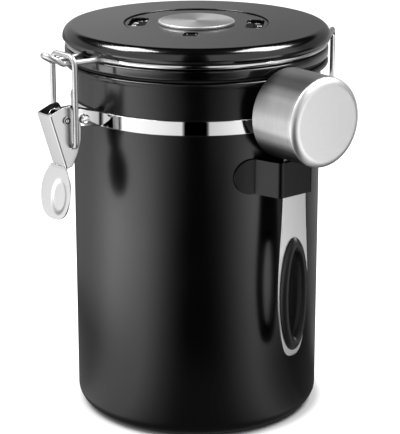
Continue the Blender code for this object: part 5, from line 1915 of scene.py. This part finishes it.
    def build_floor(self) -> None:
        """Build the floor, white in the picture, with the canister's soft shadow: partly cast from
        the softboxes, partly painted where the glow fades round its foot.
        """
        half = self.floor_size / 2
        mesh = bpy.data.meshes.new("floor")
        corners = [(-half, -half, 0), (half, -half, 0), (half, half, 0), (-half, half, 0)]
        mesh.from_pydata(corners, [], [(0, 1, 2, 3)])
        floor = linked("floor", mesh)
        white = bpy.data.materials.new("floor_white")
        white.use_nodes = True
        white.node_tree.nodes.clear()
        sheet = NodeSheet(white.node_tree)
        rays = sheet.add("ShaderNodeLightPath").outputs
        place = sheet.place()
        level = self.mirrored_level(sheet, place)
        # Painted shadow: the glow fades to nothing round the canister's foot, a little to its
        # right.
        centre = tuple(self.shadow_aside * part for part in self.right)
        away = sheet.add("ShaderNodeVectorMath", {0: place, 1: centre}, operation="DISTANCE")
        painted_shadow_glow = sheet.ramp(away.outputs["Value"], self.floor_glow, self.full)
        lit = sheet.out("ShaderNodeBsdfDiffuse", {"Color": (*grey(self.floor_white[0]), 1.0)})
        glow = sheet.out("ShaderNodeEmission", {"Strength": painted_shadow_glow})
        seen = sheet.out("ShaderNodeAddShader", {0: lit, 1: glow})
        shone = sheet.out("ShaderNodeEmission", {"Strength": level})
        soft = sheet.out("ShaderNodeBsdfDiffuse", {"Color": (*grey(self.floor_white[1]), 1.0)})
        glossy, camera = rays["Is Glossy Ray"], rays["Is Camera Ray"]
        direct = sheet.out("ShaderNodeMixShader", {0: glossy, 1: soft, 2: shone})
        mixed = sheet.out("ShaderNodeMixShader", {0: camera, 1: direct, 2: seen})
        sheet.add("ShaderNodeOutputMaterial", {0: mixed})
        mesh.materials.append(white)
        floor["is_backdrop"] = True

    def build_world(self) -> None:
        """Build the surroundings: white in the picture, with a dark ceiling when mirrored."""
        world = bpy.data.worlds.new("studio")
        world.use_nodes = True
        bpy.context.scene.world = world
        world.node_tree.nodes.clear()
        sheet = NodeSheet(world.node_tree)
        rays = sheet.add("ShaderNodeLightPath").outputs
        ray = sheet.add("ShaderNodeTexCoord").outputs["Generated"]
        height = sheet.add("ShaderNodeSeparateXYZ", {0: ray}).outputs[2]
        facing = sheet.spread(sheet.dot(ray, self.near), *self.front_edge, 0.0, 1.0)
        low_front = sheet.spread(height, *self.front_ceiling)
        front = sheet.maths("MULTIPLY", self.turned(sheet, ray, self.front_turn), low_front)
        low_back = sheet.spread(height, *self.back_ceiling)
        back = sheet.spread(sheet.dot(ray, self.right), *self.side_edge, *self.back_levels)
        back = sheet.maths("MULTIPLY", back, low_back)
        change = sheet.maths("SUBTRACT", front, back)
        mirrored_ray = sheet.maths("MULTIPLY_ADD", change, facing, back)
        soft = sheet.maths("MULTIPLY", rays["Is Diffuse Ray"], self.fill)
        total = sheet.maths("MULTIPLY_ADD", rays["Is Glossy Ray"], mirrored_ray, soft)
        total = sheet.maths("ADD", total, rays["Is Camera Ray"])
        behind = sheet.out("ShaderNodeBackground", {"Strength": total})
        sheet.add("ShaderNodeOutputWorld", {0: behind})

    def build_softboxes(self) -> None:
        """Hang the two softboxes."""
        aside, height = self.box_place
        turn = math.atan2(self.right[1], self.right[0])
        for name, side in (("left_softbox", -1), ("right_softbox", 1)):
            data = bpy.data.lights.new(name, "AREA")
            data.shape = "RECTANGLE"
            data.size, data.size_y = self.box_size
            data.energy = self.box_power
            item = linked(name, data)
            item.location = Vector(self.right) * side * aside + UP * height
            item.rotation_euler = (0, 0, turn)

    def build(self) -> None:
        """Build the studio."""
        self.build_floor()
        self.build_world()
        self.build_softboxes()
        bpy.context.scene.view_settings.view_transform = "Standard"


def write_size() -> None:
    rows = [("cad", CAD_BOX), ("visual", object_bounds())]
    for name, box in rows:
        LOG.info("%s box %s", name, box)


def main() -> None:
    """Build every piece, the studio and the camera."""
    logging.basicConfig(level=logging.INFO, format="%(name)s: %(message)s")
    for piece in (
        CanisterBody(), ClampBand(), LidCover(), RingWire(), DateDial(), GasValve(),
        ClampLatch(), HingeBracket(), ScoopBridge(), Scoop(), Studio(), PhotoCamera(),
    ):
        piece.build()
    write_size()


if __name__ == "__main__":
    main()
